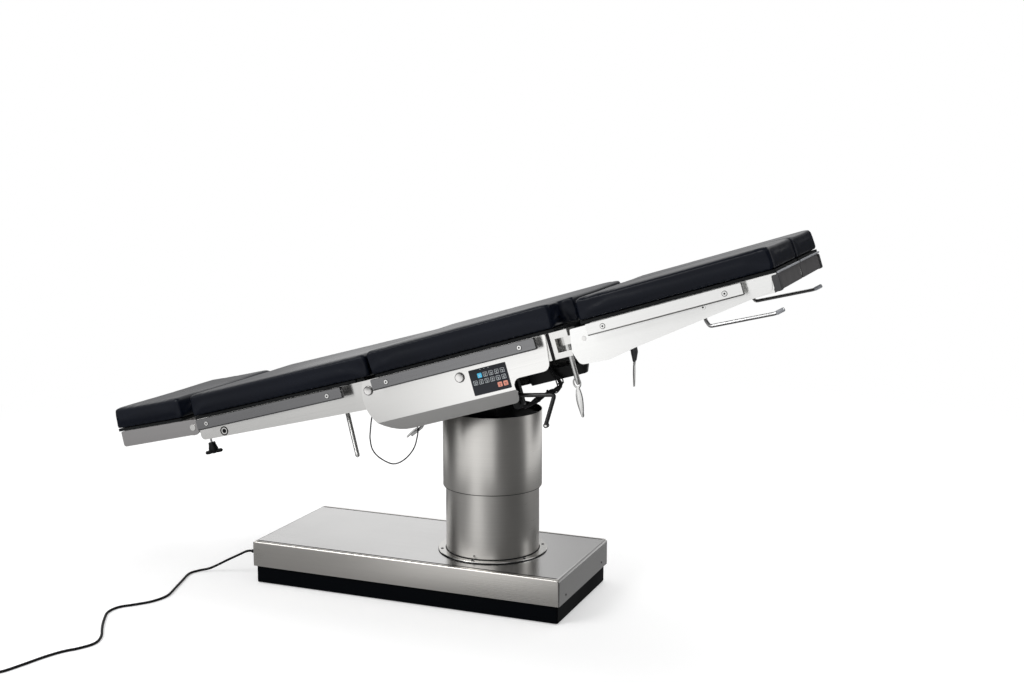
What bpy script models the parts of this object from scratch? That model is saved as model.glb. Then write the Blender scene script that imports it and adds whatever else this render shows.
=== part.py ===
"""Operating table: a lifting column on a covered base carries a tilting seat section.

The seat section carries a hinged back section, a hinged head section and two leg sections
that swing down and outwards. Metres, +Z up, +X towards the foot end. The origin lies on
the floor, under the axis of the column.

Each section is drawn in its own coordinates: s runs along the section, y across it and
h square to it, from the point on the side rail's centre line above the column.
"""

from math import asin
from math import atan2
from math import cos
from math import hypot
from math import pi
from math import radians
from math import sin

import bmesh
import bpy
from mathutils import Matrix
from mathutils import Vector

# Clearances and facets
GAP = 0.0003
MERGE_DISTANCE = 0.00001
OVERLAP = 0.0006
ARC_STEPS = 4
ROUND_STEPS = 32
PIN_STEPS = 16
FASTENER_STEPS = 10
SMOOTH_ANGLE = radians(35.0)

# Base
BASE_HEAD_X = -0.658
BASE_FOOT_X = 0.272
BASE_HALF_WIDTH = 0.201
BASE_TOP_Z = 0.1243
COVER_BOTTOM_Z = 0.0519
COVER_SHEET = 0.002
COVER_BEND = 0.010
COVER_CORNER = 0.006
COVER_LIP = 0.0105
CHASSIS_INSET = 0.0073
CHASSIS_TOP_Z = 0.070
CHASSIS_WALL = 0.004
CHASSIS_FLOOR = 0.006
FOOT_HEIGHT = 0.003
FOOT_RADIUS = 0.020
FOOT_INSET = 0.036
PLINTH_RADIUS = 0.150

# Drive units inside the base
UNIT_HEAD_X = -0.560
UNIT_LENGTH = 0.110
UNIT_HALF_WIDTH = 0.090
UNIT_HEIGHT = 0.085
MOTOR_RADIUS = 0.036
MOTOR_LENGTH = 0.090
BATTERY_HEAD_X = -0.335
BATTERY_LENGTH = 0.120
BATTERY_HALF_WIDTH = 0.085
BATTERY_HEIGHT = 0.080
TERMINAL_RADIUS = 0.007
TERMINAL_HEIGHT = 0.012
TERMINAL_SPACING = 0.110
UNIT_CORNER = 0.006

# Column
SLEEVE_WALL = 0.002
LOWER_SLEEVE_RADIUS = 0.1297
MIDDLE_SLEEVE_RADIUS = 0.1335
UPPER_SLEEVE_RADIUS = 0.1373
LOWER_SLEEVE_TOP_Z = 0.430
MIDDLE_SLEEVE_BOTTOM_Z = 0.315
MIDDLE_SLEEVE_TOP_Z = 0.465
UPPER_SLEEVE_BOTTOM_Z = 0.3103
UPPER_SLEEVE_TOP_Z = 0.5235
GUIDE_RING_HEIGHT = 0.012
FLANGE_RADIUS = 0.1524
FLANGE_THICKNESS = 0.004
FLANGE_CHAMFER = 0.0013
CYLINDER_RADIUS = 0.040
CYLINDER_WALL = 0.0095
CYLINDER_BOTTOM_Z = 0.012
CYLINDER_TOP_Z = 0.400
RAM_RADIUS = 0.030
RAM_BOTTOM_Z = 0.120
HEAD_DISC_BOTTOM_Z = 0.505
HEAD_DISC_THICKNESS = 0.008

# Tilt joint on top of the column
TILT_Z = 0.620
CHEEK_HALF_LENGTH = 0.040
CHEEK_INNER_Y = 0.050
CHEEK_THICKNESS = 0.020
CHEEK_TOP_RADIUS = 0.024
CHEEK_SHOULDER_DROP = 0.035
FORK_WEB_TOP_Z = 0.540
TRUNNION_RADIUS = 0.0125
TRUNNION_CAP_RADIUS = 0.018
TRUNNION_CAP_THICKNESS = 0.005
BLOCK_HALF_LENGTH = 0.055
BLOCK_HALF_HEIGHT = 0.028
BLOCK_CORNER = 0.010
ROLL_SHAFT_RADIUS = 0.014
ROLL_COLLAR_RADIUS = 0.019
ROLL_COLLAR_THICKNESS = 0.006
LUG_THICKNESS = 0.020
LUG_RADIUS = 0.030

# Angles and places of the sections at rest
SEAT_PITCH = radians(16.88)
BACK_RISE = radians(1.35)
HEAD_RISE = radians(2.72)
LEG_RISE = radians(0.47)
RAIL_LINE_Z = 0.6889

# Across the table, worked out from half the width of the boards
BOARD_HALF_WIDTH = 0.270
BOARD_OVERHANG = 0.002
SEAT_COVER_OUTER_Y = BOARD_HALF_WIDTH - BOARD_OVERHANG
PAD_OVERHANG = 0.0067
PAD_HALF_WIDTH = BOARD_HALF_WIDTH + PAD_OVERHANG
RAIL_THICKNESS = 0.010
RAIL_HEIGHT = 0.030
RAIL_STANDOFF = 0.018
RAIL_OUTER_Y = SEAT_COVER_OUTER_Y + RAIL_STANDOFF + RAIL_THICKNESS
SHEET = 0.003
LEG_SHEET = 0.0025
PLATE_SPACE = 0.003
BACK_PLATE = 0.0055
BACK_PLATE_OUTER_Y = SEAT_COVER_OUTER_Y - SHEET - PLATE_SPACE
BEAM_SPACE = 0.001
BEAM_THICKNESS = 0.020
BEAM_OUTER_Y = BACK_PLATE_OUTER_Y - BACK_PLATE - BEAM_SPACE
BEAM_INNER_Y = BEAM_OUTER_Y - BEAM_THICKNESS
HEAD_INSET = 0.017
HEAD_PLATE = 0.006
HEAD_PLATE_OUTER_Y = BACK_PLATE_OUTER_Y - HEAD_INSET
HEAD_BOARD_OVERHANG = 0.001
HEAD_BOARD_HALF_WIDTH = HEAD_PLATE_OUTER_Y + HEAD_BOARD_OVERHANG
HEAD_PAD_OVERHANG = 0.0066
HEAD_PAD_HALF_WIDTH = HEAD_BOARD_HALF_WIDTH + HEAD_PAD_OVERHANG
LEG_SPLIT_HALF = 0.0045
LEG_BOARD_SPLIT_HALF = 0.008

# Heights above the rail's centre line
FRAME_TOP_H = 0.0155
BOARD_THICKNESS = 0.0077
SEAT_PAD_TOP_H = 0.0875
BACK_PAD_TOP_H = 0.0844
HEAD_PAD_TOP_H = 0.0849
LEG_PAD_TOP_H = 0.0800
HEAD_FRAME_TOP_H = 0.0175
PAD_EDGE = 0.008
PAD_CORNER = 0.012
PAD_END_CORNER = 0.006
SEAT_PAD_EDGE = 0.005
TONGUE_CORNER = 0.006
PAD_STEPS = 3

# Side rails
RAIL_SPACER_RADIUS = 0.009
RAIL_SCREW_RADIUS = 0.0065
RAIL_SCREW_HEIGHT = 0.0012
RAIL_END_ROUND = 0.003
SEAT_RAIL = (-0.229, 0.2505)
SEAT_RAIL_SCREWS = (-0.172, 0.192)
BACK_RAIL = (-0.798, -0.322)
BACK_RAIL_SCREWS = (-0.742, -0.382)
LEG_RAIL = (0.390, 0.791)
LEG_RAIL_SCREWS = (0.432, 0.738)

# Seat section
SEAT_BOARD_END = 0.300
SEAT_PAD = (-0.236, 0.303)
SEAT_TONGUE_END = 0.345
SEAT_TONGUE_HALF_WIDTH = 0.200
BEAM_BOTTOM_H = -0.028
BEAM_NOTCH_H = -0.001
BEAM_NOTCH_LENGTH = 0.044
BEAM_END_RADIUS = 0.022
BEAM_END_TURN = radians(50.0)
CROSS_BOTTOM_H = -0.026
CROSS_WIDTH = 0.030
KNUCKLE_CROSS_S = 0.105
FRONT_CROSS_S = 0.182
COVER_ARC_S = -0.178
COVER_ARC_H = -0.036
COVER_ARC_RADIUS = 0.1025
COVER_FOLD_H = -0.102
COVER_BOTTOM_H = -0.1385
COVER_FLANGE_LEAN = 0.030
COVER_FOOT_S = 0.2707
COVER_STEP_H = -0.0748
COVER_FOOT_POINTS = (
    (0.1400, COVER_BOTTOM_H, 0.016),
    (0.1560, -0.1080, 0.010),
    (0.1500, COVER_STEP_H, 0.018),
    (0.2590, COVER_STEP_H, 0.020),
    (COVER_FOOT_S, FRAME_TOP_H - GAP, 0.004),
)
COVER_HOLE_SPACE = 0.001
HINGE_BOLT_RADIUS = 0.009
HINGE_HEAD_RADIUS = 0.012
HINGE_HEAD_HEIGHT = 0.003
TRIM_BOLT_S = 0.0122
TRIM_BOLT_H = -0.0377
TRIM_BOLT_RADIUS = 0.0125
TRIM_BOLT_SHANK = 0.006
TRIM_BOSS_RADIUS = 0.016
COVER_BOSS_S = (-0.140, 0.150)
COVER_BOSS_H = -0.014
COVER_BOSS_RADIUS = 0.010

# Control panel on the near cover
KEYPAD_S = 0.093
KEYPAD_H = -0.0603
KEYPAD_LENGTH = 0.106
KEYPAD_HEIGHT = 0.067
KEYPAD_THICKNESS = 0.0012
KEY_SIZE = 0.0115
KEY_HEIGHT = 0.0006
KEY_PITCH = 0.0160
KEY_COLUMNS = 6
KEY_ROWS = ((5, 0.0185, 0.5), (6, 0.0, 0.0), (2, -0.0195, 4.0))

# Underframe and crank at the foot end of the seat
UNDER_BEAM = (0.168, 0.333)
UNDER_BEAM_TOP_H = -0.080
UNDER_BEAM_BOTTOM_H = -0.109
UNDER_BEAM_INSET = 0.0455
UNDER_BEAM_Y = BEAM_INNER_Y - UNDER_BEAM_INSET
UNDER_BEAM_NOSE = 0.010
UNDER_BEAM_SLOPE = 0.008
UNDER_BEAM_ROUND = 0.006
UNDER_BEAM_CORNER = 0.004
UNDER_BEAM_THICKNESS = 0.012
UNDER_HANGER_LENGTH = 0.030
KNUCKLE_BOTTOM_H = -0.158
KNUCKLE_INSET = 0.0355
KNUCKLE_THICKNESS = 0.016
KNUCKLE_OUTER_Y = BEAM_INNER_Y - KNUCKLE_INSET
KNUCKLE_INNER_Y = KNUCKLE_OUTER_Y - KNUCKLE_THICKNESS
KNUCKLE_CORNER = 0.010
KNUCKLE_BOLT_RADIUS = 0.007
CRANK_PIVOT = (0.1200, -0.1180)
CRANK_STANDOFF = 0.022
CRANK_Y = KNUCKLE_OUTER_Y + CRANK_STANDOFF
CRANK_EYE_RADIUS = 0.0018
CRANK_RADIUS = 0.0055
CRANK_HUB_RADIUS = 0.012
CRANK_ELBOW = (0.2256, -0.1411)
CRANK_TIP = (0.1798, -0.2144)
CRANK_BEND = 0.010

# Leg joint: clevis on the seat, lug, clamp lever
CLEVIS = (0.262, 0.328)
CLEVIS_DEPTH = 0.0574
CLEVIS_OUTER_Y = SEAT_COVER_OUTER_Y - SHEET - GAP
CLEVIS_INNER_Y = CLEVIS_OUTER_Y - CLEVIS_DEPTH
CLEVIS_TOP_H = 0.0148
CLEVIS_BOTTOM_H = -0.0534
CLEVIS_SLOT_S = 0.2914
CLEVIS_SLOT_TOP_H = -0.003
CLEVIS_SLOT_BOTTOM_H = -0.0387
SWING_S = 0.310
SWING_Y = (CLEVIS_INNER_Y + CLEVIS_OUTER_Y) / 2
SPINDLE_RADIUS = 0.007
SPINDLE_TOP_H = 0.0143
SPINDLE_COLLAR_RADIUS = 0.012
SPINDLE_EYE_H = -0.1312
SPINDLE_EYE_RADIUS = 0.009
HANDLE_TOP_RADIUS = 0.003
HANDLE_BELLY_RADIUS = 0.0062
HANDLE_END_RADIUS = 0.0035
HANDLE_END_H = -0.2106
HANDLE_SWAY = 0.010
HANDLE_BELLY_SWAY = 0.006
LUG_BOTTOM_H = -0.0245
LUG_HALF_WIDTH = 0.0175

# Leg section
KNEE_S = 0.3682
KNEE_H = -0.0189
KNEE_BARREL_RADIUS = 0.0125
KNEE_BARREL_HALF = 0.0245
KNEE_BARREL_Y = (SWING_Y - KNEE_BARREL_HALF, SWING_Y + KNEE_BARREL_HALF)
KNEE_PIN_RADIUS = 0.006
KNEE_PIN_HEAD_HEIGHT = 0.0008
LEG_EAR_SPACE = 0.0005
LEG_EAR_THICKNESS = 0.011
LEG_EAR_OUTER_Y = KNEE_BARREL_Y[0] - LEG_EAR_SPACE
LEG_EAR_Y = (LEG_EAR_OUTER_Y - LEG_EAR_THICKNESS, LEG_EAR_OUTER_Y)
LEG_EAR_RADIUS = 0.014
LEG_BEAM_Y = (BEAM_OUTER_Y, SEAT_COVER_OUTER_Y - LEG_SHEET + OVERLAP)
LEG_INNER_BEAM_Y = (0.030, 0.045)
LEG_FRAME_S = 0.395
LEG_FRAME_END_S = 0.855
LEG_MIDDLE_S = 0.610
LEG_BEAM_BOTTOM_H = -0.030
LEG_BOARD = (0.370, 0.871)
LEG_PAD = (0.368, 0.873)
LEG_END_PANEL_S = 0.8695
LEG_END_PANEL_BOTTOM_H = -0.020
LEG_PLATE_POINTS = (
    (0.8583, 0.0115, 0.002),
    (0.3380, 0.0115, 0.004),
    (0.3285, -0.0445, 0.020),
    (0.3400, -0.0800, 0.016),
    (0.4190, -0.0850, 0.030),
    (0.4913, -0.0720, 0.100),
    (0.8507, -0.0239, 0.010),
)

# Release wire under each leg
WIRE_PIVOT = (0.681, -0.020)
WIRE_INSET = 0.0055
WIRE_Y = BEAM_OUTER_Y - WIRE_INSET
WIRE_RADIUS = 0.0045
WIRE_EYE_RADIUS = 0.008
WIRE_PIN_RADIUS = 0.0035
WIRE_PIN_REACH = 0.005
WIRE_PIN_INNER_Y = WIRE_Y - WIRE_PIN_REACH
WIRE_ROUTE = ((0.6720, -0.0510), (0.6785, -0.0688), (0.8390, -0.0780), (0.8620, -0.0730))
WIRE_BEND = 0.012

# Back section
BACK_HINGE_S = -0.2563
BACK_HINGE_H = -0.0123
BACK_PLATE_HEAD_S = -0.8158
BACK_PLATE_POINTS = (
    (BACK_PLATE_HEAD_S, FRAME_TOP_H - GAP, 0.003),
    (BACK_PLATE_HEAD_S, -0.0452, 0.012),
    (-0.2780, -0.0610, 0.012),
    (-0.2600, -0.0500, 0.006),
)
BACK_END_RADIUS = 0.0272
BACK_END_TURN = radians(-80.0)
BACK_BOARD = (-0.815, -0.262)
BACK_BOARD_NECK = 0.024
BACK_FOLD_UP = radians(75.0)
FOLD_SPACE = 0.0015
BACK_PAD = (-0.820, -0.2383)
BACK_CROSS_S = (-0.795, -0.575, -0.365)
BACK_CROSS_BOTTOM_H = -0.040
KEY_SOCKET_S = -0.7366
KEY_SOCKET_H = -0.0332
KEY_SOCKET_RADIUS = 0.0105
KEY_SOCKET_DEPTH = 0.004
ROD_PIVOT = (-0.3518, -0.0500)
ROD_INSET = 0.022
ROD_Y = BACK_PLATE_OUTER_Y - ROD_INSET
ROD_TIP = (-0.3553, -0.1804)
ROD_RADIUS = 0.0055
ROD_TIP_RADIUS = 0.0018
ROD_HUB_RADIUS = 0.009
ROD_HUB_HALF = 0.0049
ROD_PIN_RADIUS = 0.004
ROD_LUG_THICKNESS = 0.006

# Head section and its locks
HEAD_HINGE_S = -0.849
HEAD_HINGE_H = -0.006
HEAD_PIN_RADIUS = 0.006
HEAD_PIN_HEAD_RADIUS = 0.009
HEAD_EAR_SPACE = 0.001
HEAD_EAR_THICKNESS = 0.014
HEAD_EAR_OUTER_Y = HEAD_PLATE_OUTER_Y - HEAD_PLATE - HEAD_EAR_SPACE
HEAD_EAR_Y = (HEAD_EAR_OUTER_Y - HEAD_EAR_THICKNESS, HEAD_EAR_OUTER_Y)
HEAD_EAR_RADIUS = 0.018
HEAD_PLATE_HEAD_S = -1.0980
HEAD_PLATE_POINTS = (
    (HEAD_PLATE_HEAD_S, HEAD_FRAME_TOP_H - GAP, 0.004),
    (HEAD_PLATE_HEAD_S, -0.0285, 0.008),
    (-0.8600, -0.0270, 0.006),
)
HEAD_END_RADIUS = 0.0225
HEAD_END_TURN = radians(-75.0)
HEAD_BOARD = (-1.105, -0.880)
HEAD_PAD = (-1.108, -0.872)
HEAD_CROSS_S = (-1.090, -0.925)
HEAD_CROSS_BOTTOM_H = -0.018
LOCK_S = -0.8034
LOCK_INSET = 0.022
LOCK_Y = BACK_PLATE_OUTER_Y - LOCK_INSET
LOCK_TOP_H = -0.0405
LOCK_STEM_RADIUS = 0.006
LOCK_HUB_RADIUS = 0.010
LOCK_GRIP_RADIUS = 0.009
LOCK_BAR_H = -0.084
LOCK_BAR_HALF_LENGTH = 0.0284
LOCK_BAR_RADIUS = 0.0055
LOCK_BAR_END_RADIUS = 0.0044

# Cables
LOOP_CABLE_RADIUS = 0.00175
HOOK_RADIUS = 0.004
HOOK_INSET = 0.0395
HOOK_ROOT_INSET = BEAM_THICKNESS / 2
HOOK_ROUTE = (
    (-0.1972, HOOK_INSET, -0.1584),
    (-0.1602, HOOK_INSET, -0.1435),
    (-0.1400, HOOK_INSET, -0.1180),
    (-0.1300, HOOK_ROOT_INSET, -0.0600),
    (-0.1300, HOOK_ROOT_INSET, BEAM_BOTTOM_H - GAP),
)
HARNESS_RADIUS = 0.005
CORD_RADIUS = 0.0035
CORD_Y = -0.150
CORD_Z = 0.076
GLAND_NUT_RADIUS = 0.011
GLAND_NUT_LENGTH = 0.008
GLAND_LENGTH = 0.034
GLAND_RADIUS = 0.0075
GLAND_TIP_RADIUS = 0.0048
COIL_CENTRE = (-0.930, -1.062)
COIL_RADIUS = 0.040
COIL_HALF_WIDTH = 0.0108
COIL_HEIGHT = 0.0285
PLUG_LENGTH = 0.042
PLUG_RADIUS = 0.017
PLUG_PIN_RADIUS = 0.0024
PLUG_PIN_LENGTH = 0.019
PLUG_PIN_SPACING = 0.019

# Route of the mains cord, on the floor unless a height is given
CORD_ROUTE = (
    (-0.700, -0.1500, 0.0760),
    (-0.708, -0.1500, 0.0745),
    (-0.735, -0.1520, 0.0620),
    (-0.770, -0.1535, 0.0440),
    (-0.805, -0.1560, 0.0240),
    (-0.838, -0.1600, 0.0095),
    (-0.866, -0.1740, CORD_RADIUS),
    (-0.870, -0.2050, CORD_RADIUS),
    (-0.856, -0.2550, CORD_RADIUS),
    (-0.835, -0.3250, CORD_RADIUS),
    (-0.815, -0.3930, CORD_RADIUS),
    (-0.825, -0.4450, CORD_RADIUS),
    (-0.853, -0.4850, CORD_RADIUS),
    (-0.882, -0.5200, CORD_RADIUS),
    (-0.884, -0.5620, CORD_RADIUS),
    (-0.860, -0.6080, CORD_RADIUS),
    (-0.826, -0.6600, CORD_RADIUS),
    (-0.786, -0.7150, CORD_RADIUS),
    (-0.770, -0.7600, CORD_RADIUS),
    (-0.785, -0.8020, CORD_RADIUS),
    (-0.808, -0.8350, CORD_RADIUS),
    (-0.826, -0.8800, CORD_RADIUS),
    (-0.840, -0.9350, CORD_RADIUS),
    (-0.852, -0.9800, CORD_RADIUS),
    (-0.868, -1.0120, CORD_RADIUS),
)

# Route of the cable loop under the seat, as (s, inset from the beam's outer face, h)
LOOP_ROUTE = (
    (-0.2563, 0.0155, -0.0352),
    (-0.2580, 0.0155, -0.0480),
    (-0.2680, 0.0155, -0.0640),
    (-0.2846, 0.0155, -0.0846),
    (-0.3015, 0.0165, -0.1202),
    (-0.3096, 0.0175, -0.1416),
    (-0.3114, 0.0185, -0.1714),
    (-0.2962, 0.0195, -0.1977),
    (-0.2645, 0.0215, -0.2203),
    (-0.2294, 0.0245, -0.2158),
    (-0.1971, 0.0275, -0.1951),
    (-0.1788, 0.0295, -0.1692),
    (-0.1684, 0.0305, -0.1442),
    (-0.1660, 0.0285, -0.1100),
    (-0.1680, 0.0175, -0.0600),
    (-0.1680, 0.0155, -0.0284),
)

# Route of the wiring under the foot end of the seat, given as the loop's is
HARNESS_ROUTE = (
    (0.1970, 0.0455, -0.0268),
    (0.1970, 0.0455, -0.0400),
    (0.2060, 0.0455, -0.0530),
    (0.2250, 0.0470, -0.0640),
    (0.2400, 0.0480, -0.0880),
    (0.2520, 0.0490, -0.1180),
    (0.2400, 0.0495, -0.1310),
    (0.2120, 0.0495, -0.1350),
    (0.1800, 0.0495, -0.1440),
    (0.1560, 0.0495, -0.1530),
    (0.1360, 0.0497, -0.1560),
)

# Colours of the materials, as linear red, green and blue
STEEL = (0.62, 0.61, 0.59)
BRIGHT_STEEL = (0.80, 0.80, 0.80)
BLACK_PAINT = (0.010, 0.010, 0.011)
PAD_COVER = (0.012, 0.015, 0.020)
BOARD_BLACK = (0.012, 0.012, 0.013)
CABLE_BLACK = (0.008, 0.008, 0.008)
BATTERY_GREY = (0.08, 0.09, 0.10)
PANEL_BLACK = (0.015, 0.017, 0.022)
SIDES = (("near", -1.0), ("far", 1.0))


def clear_scene():
    """Removes every object that the new file starts with."""
    for obj in list(bpy.data.objects):
        bpy.data.objects.remove(obj, do_unlink=True)


def make_material(name, colour, roughness, metallic):
    """A Principled material of the piece's colour and gloss."""
    material = bpy.data.materials.new(name + "_material")
    material.use_nodes = True
    shader = material.node_tree.nodes["Principled BSDF"]
    shader.inputs["Base Color"].default_value = (*colour, 1.0)
    shader.inputs["Roughness"].default_value = roughness
    shader.inputs["Metallic"].default_value = metallic
    return material


def shape_from(bm):
    """Turns a bmesh into a shape that can be fused, cut and placed."""
    bmesh.ops.recalc_face_normals(bm, faces=bm.faces)
    mesh = bpy.data.meshes.new("shape")
    bm.to_mesh(mesh)
    bm.free()
    shape = bpy.data.objects.new("shape", mesh)
    bpy.context.scene.collection.objects.link(shape)
    return shape


def moved(shape, matrix):
    """Moves the shape's own points, so that its origin stays."""
    shape.data.transform(matrix)
    return shape


def rounded(corners):
    """An outline whose corners (x, z, radius) are turned into arcs."""
    outline = []
    count = len(corners)
    for index, (x, z, radius) in enumerate(corners):
        before = Vector(corners[index - 1][:2])
        after = Vector(corners[(index + 1) % count][:2])
        outline += corner_arc(before, Vector((x, z)), after, radius)
    return outline


def corner_arc(before, corner, after, radius):
    """The points of the arc that rounds one corner."""
    if radius <= 0.0:
        return [tuple(corner)]
    to_before = (before - corner).normalized()
    to_after = (after - corner).normalized()
    half = to_before.angle(to_after) / 2.0
    middle = (to_before + to_after).normalized()
    centre = corner + middle * (radius / sin(half))
    start = corner + to_before * (radius * cos(half) / sin(half)) - centre
    sweep = start.angle_signed(corner + to_after * (radius * cos(half) / sin(half)) - centre)
    points = []
    for step in range(ARC_STEPS + 1):
        turn = Matrix.Rotation(-sweep * step / ARC_STEPS, 2)
        points.append(tuple(centre + turn @ start))
    return points


def arc(centre, radius, start, end, steps):
    """Points of an arc, with its angles in radians from +x towards +z."""
    points = []
    for step in range(steps + 1):
        angle = start + (end - start) * step / steps
        points.append((centre[0] + radius * cos(angle), centre[1] + radius * sin(angle)))
    return points


def prism(outline, low, high, corner_of):
    """A solid with the same outline at both ends."""
    bm = bmesh.new()
    base = [bm.verts.new(corner_of(a, b, low)) for a, b in outline]
    face = bm.faces.new(base)
    raised = bmesh.ops.extrude_face_region(bm, geom=[face])
    shift = Vector(corner_of(0.0, 0.0, high)) - Vector(corner_of(0.0, 0.0, low))
    top = [item for item in raised["geom"] if isinstance(item, bmesh.types.BMVert)]
    bmesh.ops.translate(bm, verts=top, vec=shift)
    return shape_from(bm)


def slab(outline, y):
    """A plate with an (x, z) outline between two y values."""
    return prism(outline, min(y), max(y), lambda a, b, depth: (a, depth, b))


def plan(outline, z):
    """A plate with an (x, y) outline between two z values."""
    return prism(outline, min(z), max(z), lambda a, b, depth: (a, b, depth))


def across(outline, x):
    """A plate with a (y, z) outline between two x values."""
    return prism(outline, min(x), max(x), lambda a, b, depth: (depth, a, b))


def box(x, y, z):
    """A block between pairs of x, y and z values."""
    outline = [(x[0], z[0]), (x[1], z[0]), (x[1], z[1]), (x[0], z[1])]
    return slab(outline, y)


def round_block(x, y, z, corner):
    """A block whose upright edges are rounded."""
    corners = []
    for px, py in ((x[0], y[0]), (x[1], y[0]), (x[1], y[1]), (x[0], y[1])):
        corners.append((px, py, corner))
    return plan(rounded(corners), z)


def pad_block(x, y, z, corner, edge):
    """A cushion with rounded upright edges and a softly rounded rim."""
    shape = round_block(x, y, z, corner)
    bm = bmesh.new()
    bm.from_mesh(shape.data)
    rim = [item for item in bm.edges if all(abs(vert.co.z - z[1]) < GAP for vert in item.verts)]
    bmesh.ops.bevel(
        bm, geom=rim, offset=edge, segments=PAD_STEPS, profile=0.5, affect="EDGES", clamp_overlap=True
    )
    bm.to_mesh(shape.data)
    bm.free()
    return shape


def turned(profile, steps=ROUND_STEPS):
    """A solid turned about the z axis from a closed (radius, z) profile."""
    bm = bmesh.new()
    ring = []
    for radius, z in profile:
        ring.append(bm.verts.new((radius, 0.0, z)))
    edges = []
    for index, vert in enumerate(ring):
        edges.append(bm.edges.new((vert, ring[(index + 1) % len(ring)])))
    bmesh.ops.spin(
        bm, geom=ring + edges, cent=(0, 0, 0), axis=(0, 0, 1), angle=2 * pi, steps=steps, use_merge=True
    )
    bmesh.ops.remove_doubles(bm, verts=bm.verts, dist=MERGE_DISTANCE)
    return shape_from(bm)


def tube(inner, outer, z, steps=ROUND_STEPS):
    """A straight round tube about the z axis."""
    low, high = z
    return turned([(inner, low), (outer, low), (outer, high), (inner, high)], steps)


def rod(start, end, radius, steps=PIN_STEPS, end_radius=None):
    """A round bar, or a taper, between two points."""
    run = Vector(end) - Vector(start)
    bm = bmesh.new()
    bmesh.ops.create_cone(
        bm,
        cap_ends=True,
        segments=steps,
        radius1=radius,
        radius2=radius if end_radius is None else end_radius,
        depth=run.length,
    )
    shape = shape_from(bm)
    turn = run.to_track_quat("Z", "Y").to_matrix().to_4x4()
    middle = (Vector(start) + Vector(end)) / 2
    return moved(shape, Matrix.Translation(middle) @ turn)


def cross_rod(s, y, h, radius, steps=PIN_STEPS):
    """A round bar across the table between two y values."""
    return rod((s, y[0], h), (s, y[1], h), radius, steps)


def rounded_route(points, bend):
    """A route whose inner corners are turned into short curves."""
    route = [Vector(points[0])]
    for before, corner, after in zip(points, points[1:], points[2:]):
        corner = Vector(corner)
        start = corner + (Vector(before) - corner).normalized() * bend
        end = corner + (Vector(after) - corner).normalized() * bend
        for step in range(ARC_STEPS + 1):
            share = step / ARC_STEPS
            first = start.lerp(corner, share)
            second = corner.lerp(end, share)
            route.append(first.lerp(second, share))
    route.append(Vector(points[-1]))
    return route


def smooth_route(points, steps):
    """Points along one smooth curve through the given points."""
    route = [Vector(point) for point in points]
    padded = [route[0] * 2 - route[1]] + route + [route[-1] * 2 - route[-2]]
    smooth = []
    for index in range(len(route) - 1):
        a, b, c, d = padded[index : index + 4]
        for step in range(steps):
            t = step / steps
            even = b * 2 + (c - a) * t
            cubic = (a * 2 - b * 5 + c * 4 - d) * t**2 + (b * 3 - a - c * 3 + d) * t**3
            smooth.append((even + cubic) / 2)
    smooth.append(route[-1])
    return smooth


def cable(name, route, radius, sides=2):
    """A curve with a round bevel along the route."""
    curve = bpy.data.curves.new(name, "CURVE")
    curve.dimensions = "3D"
    curve.bevel_depth = radius
    curve.bevel_resolution = sides
    curve.use_fill_caps = True
    spline = curve.splines.new("POLY")
    spline.points.add(len(route) - 1)
    for point, place in zip(spline.points, route):
        point.co = (*place, 1.0)
    obj = bpy.data.objects.new(name, curve)
    bpy.context.scene.collection.objects.link(obj)
    return obj


def solid_of(obj):
    """The object's evaluated mesh as a new shape, in place of the object."""
    bpy.context.view_layer.update()
    graph = bpy.context.evaluated_depsgraph_get()
    mesh = bpy.data.meshes.new_from_object(obj.evaluated_get(graph))
    shape = bpy.data.objects.new("shape", mesh)
    bpy.context.scene.collection.objects.link(shape)
    bpy.data.objects.remove(obj, do_unlink=True)
    return shape


def bent_rod(points, radius, bend, sides=2):
    """A round bar bent along a route, as a shape."""
    return solid_of(cable("bent", rounded_route(points, bend), radius, sides))


def combined(shape, others, operation):
    """The shape after one Boolean operation with each of the others."""
    for other in others:
        boolean = shape.modifiers.new("boolean", "BOOLEAN")
        boolean.operation = operation
        boolean.object = other
    result = solid_of(shape)
    for other in others:
        bpy.data.objects.remove(other, do_unlink=True)
    return result


def fused(shape, *others):
    """One solid made of the shape and all the others."""
    return combined(shape, others, "UNION")


def cut(shape, *others):
    """The shape without the space of the others."""
    return combined(shape, others, "DIFFERENCE")


def common(shape, *others):
    """The space that the shape shares with the others."""
    return combined(shape, others, "INTERSECT")


def place(name, shape, parent, look):
    """Names a shape, gives it its material and hangs it on its parent."""
    shape.name = name
    shape.data.name = name
    shape.data.materials.clear()
    shape.data.materials.append(make_material(name, *look))
    if shape.type == "MESH":
        shape.data.shade_smooth()
        shape.data.set_sharp_from_angle(angle=SMOOTH_ANGLE)
    if parent is not None:
        axis, offset = parent
        shape.parent = axis
        shape.location = offset
    return shape


def axis_at(name, parent, s, y, h, rise=0.0):
    """An empty on a joint's axis, and the offset that turns section coordinates into its own."""
    axis = bpy.data.objects.new(name, None)
    bpy.context.scene.collection.objects.link(axis)
    axis.parent = parent[0]
    axis.location = Vector((s, y, h)) + parent[1]
    axis.rotation_euler = (0.0, -rise, 0.0)
    return axis, Vector((-s, -y, -h))


def world_axis(name, place_at):
    """An empty in world coordinates, for pieces drawn in world coordinates."""
    axis = bpy.data.objects.new(name, None)
    bpy.context.scene.collection.objects.link(axis)
    axis.location = place_at
    return axis, -Vector(place_at)


def seat_offset():
    """The seat's own zero point as seen from the tilt axis, along the section."""
    rise = RAIL_LINE_Z - TILT_Z
    return Vector((rise * sin(SEAT_PITCH), 0.0, rise * cos(SEAT_PITCH)))


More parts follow.
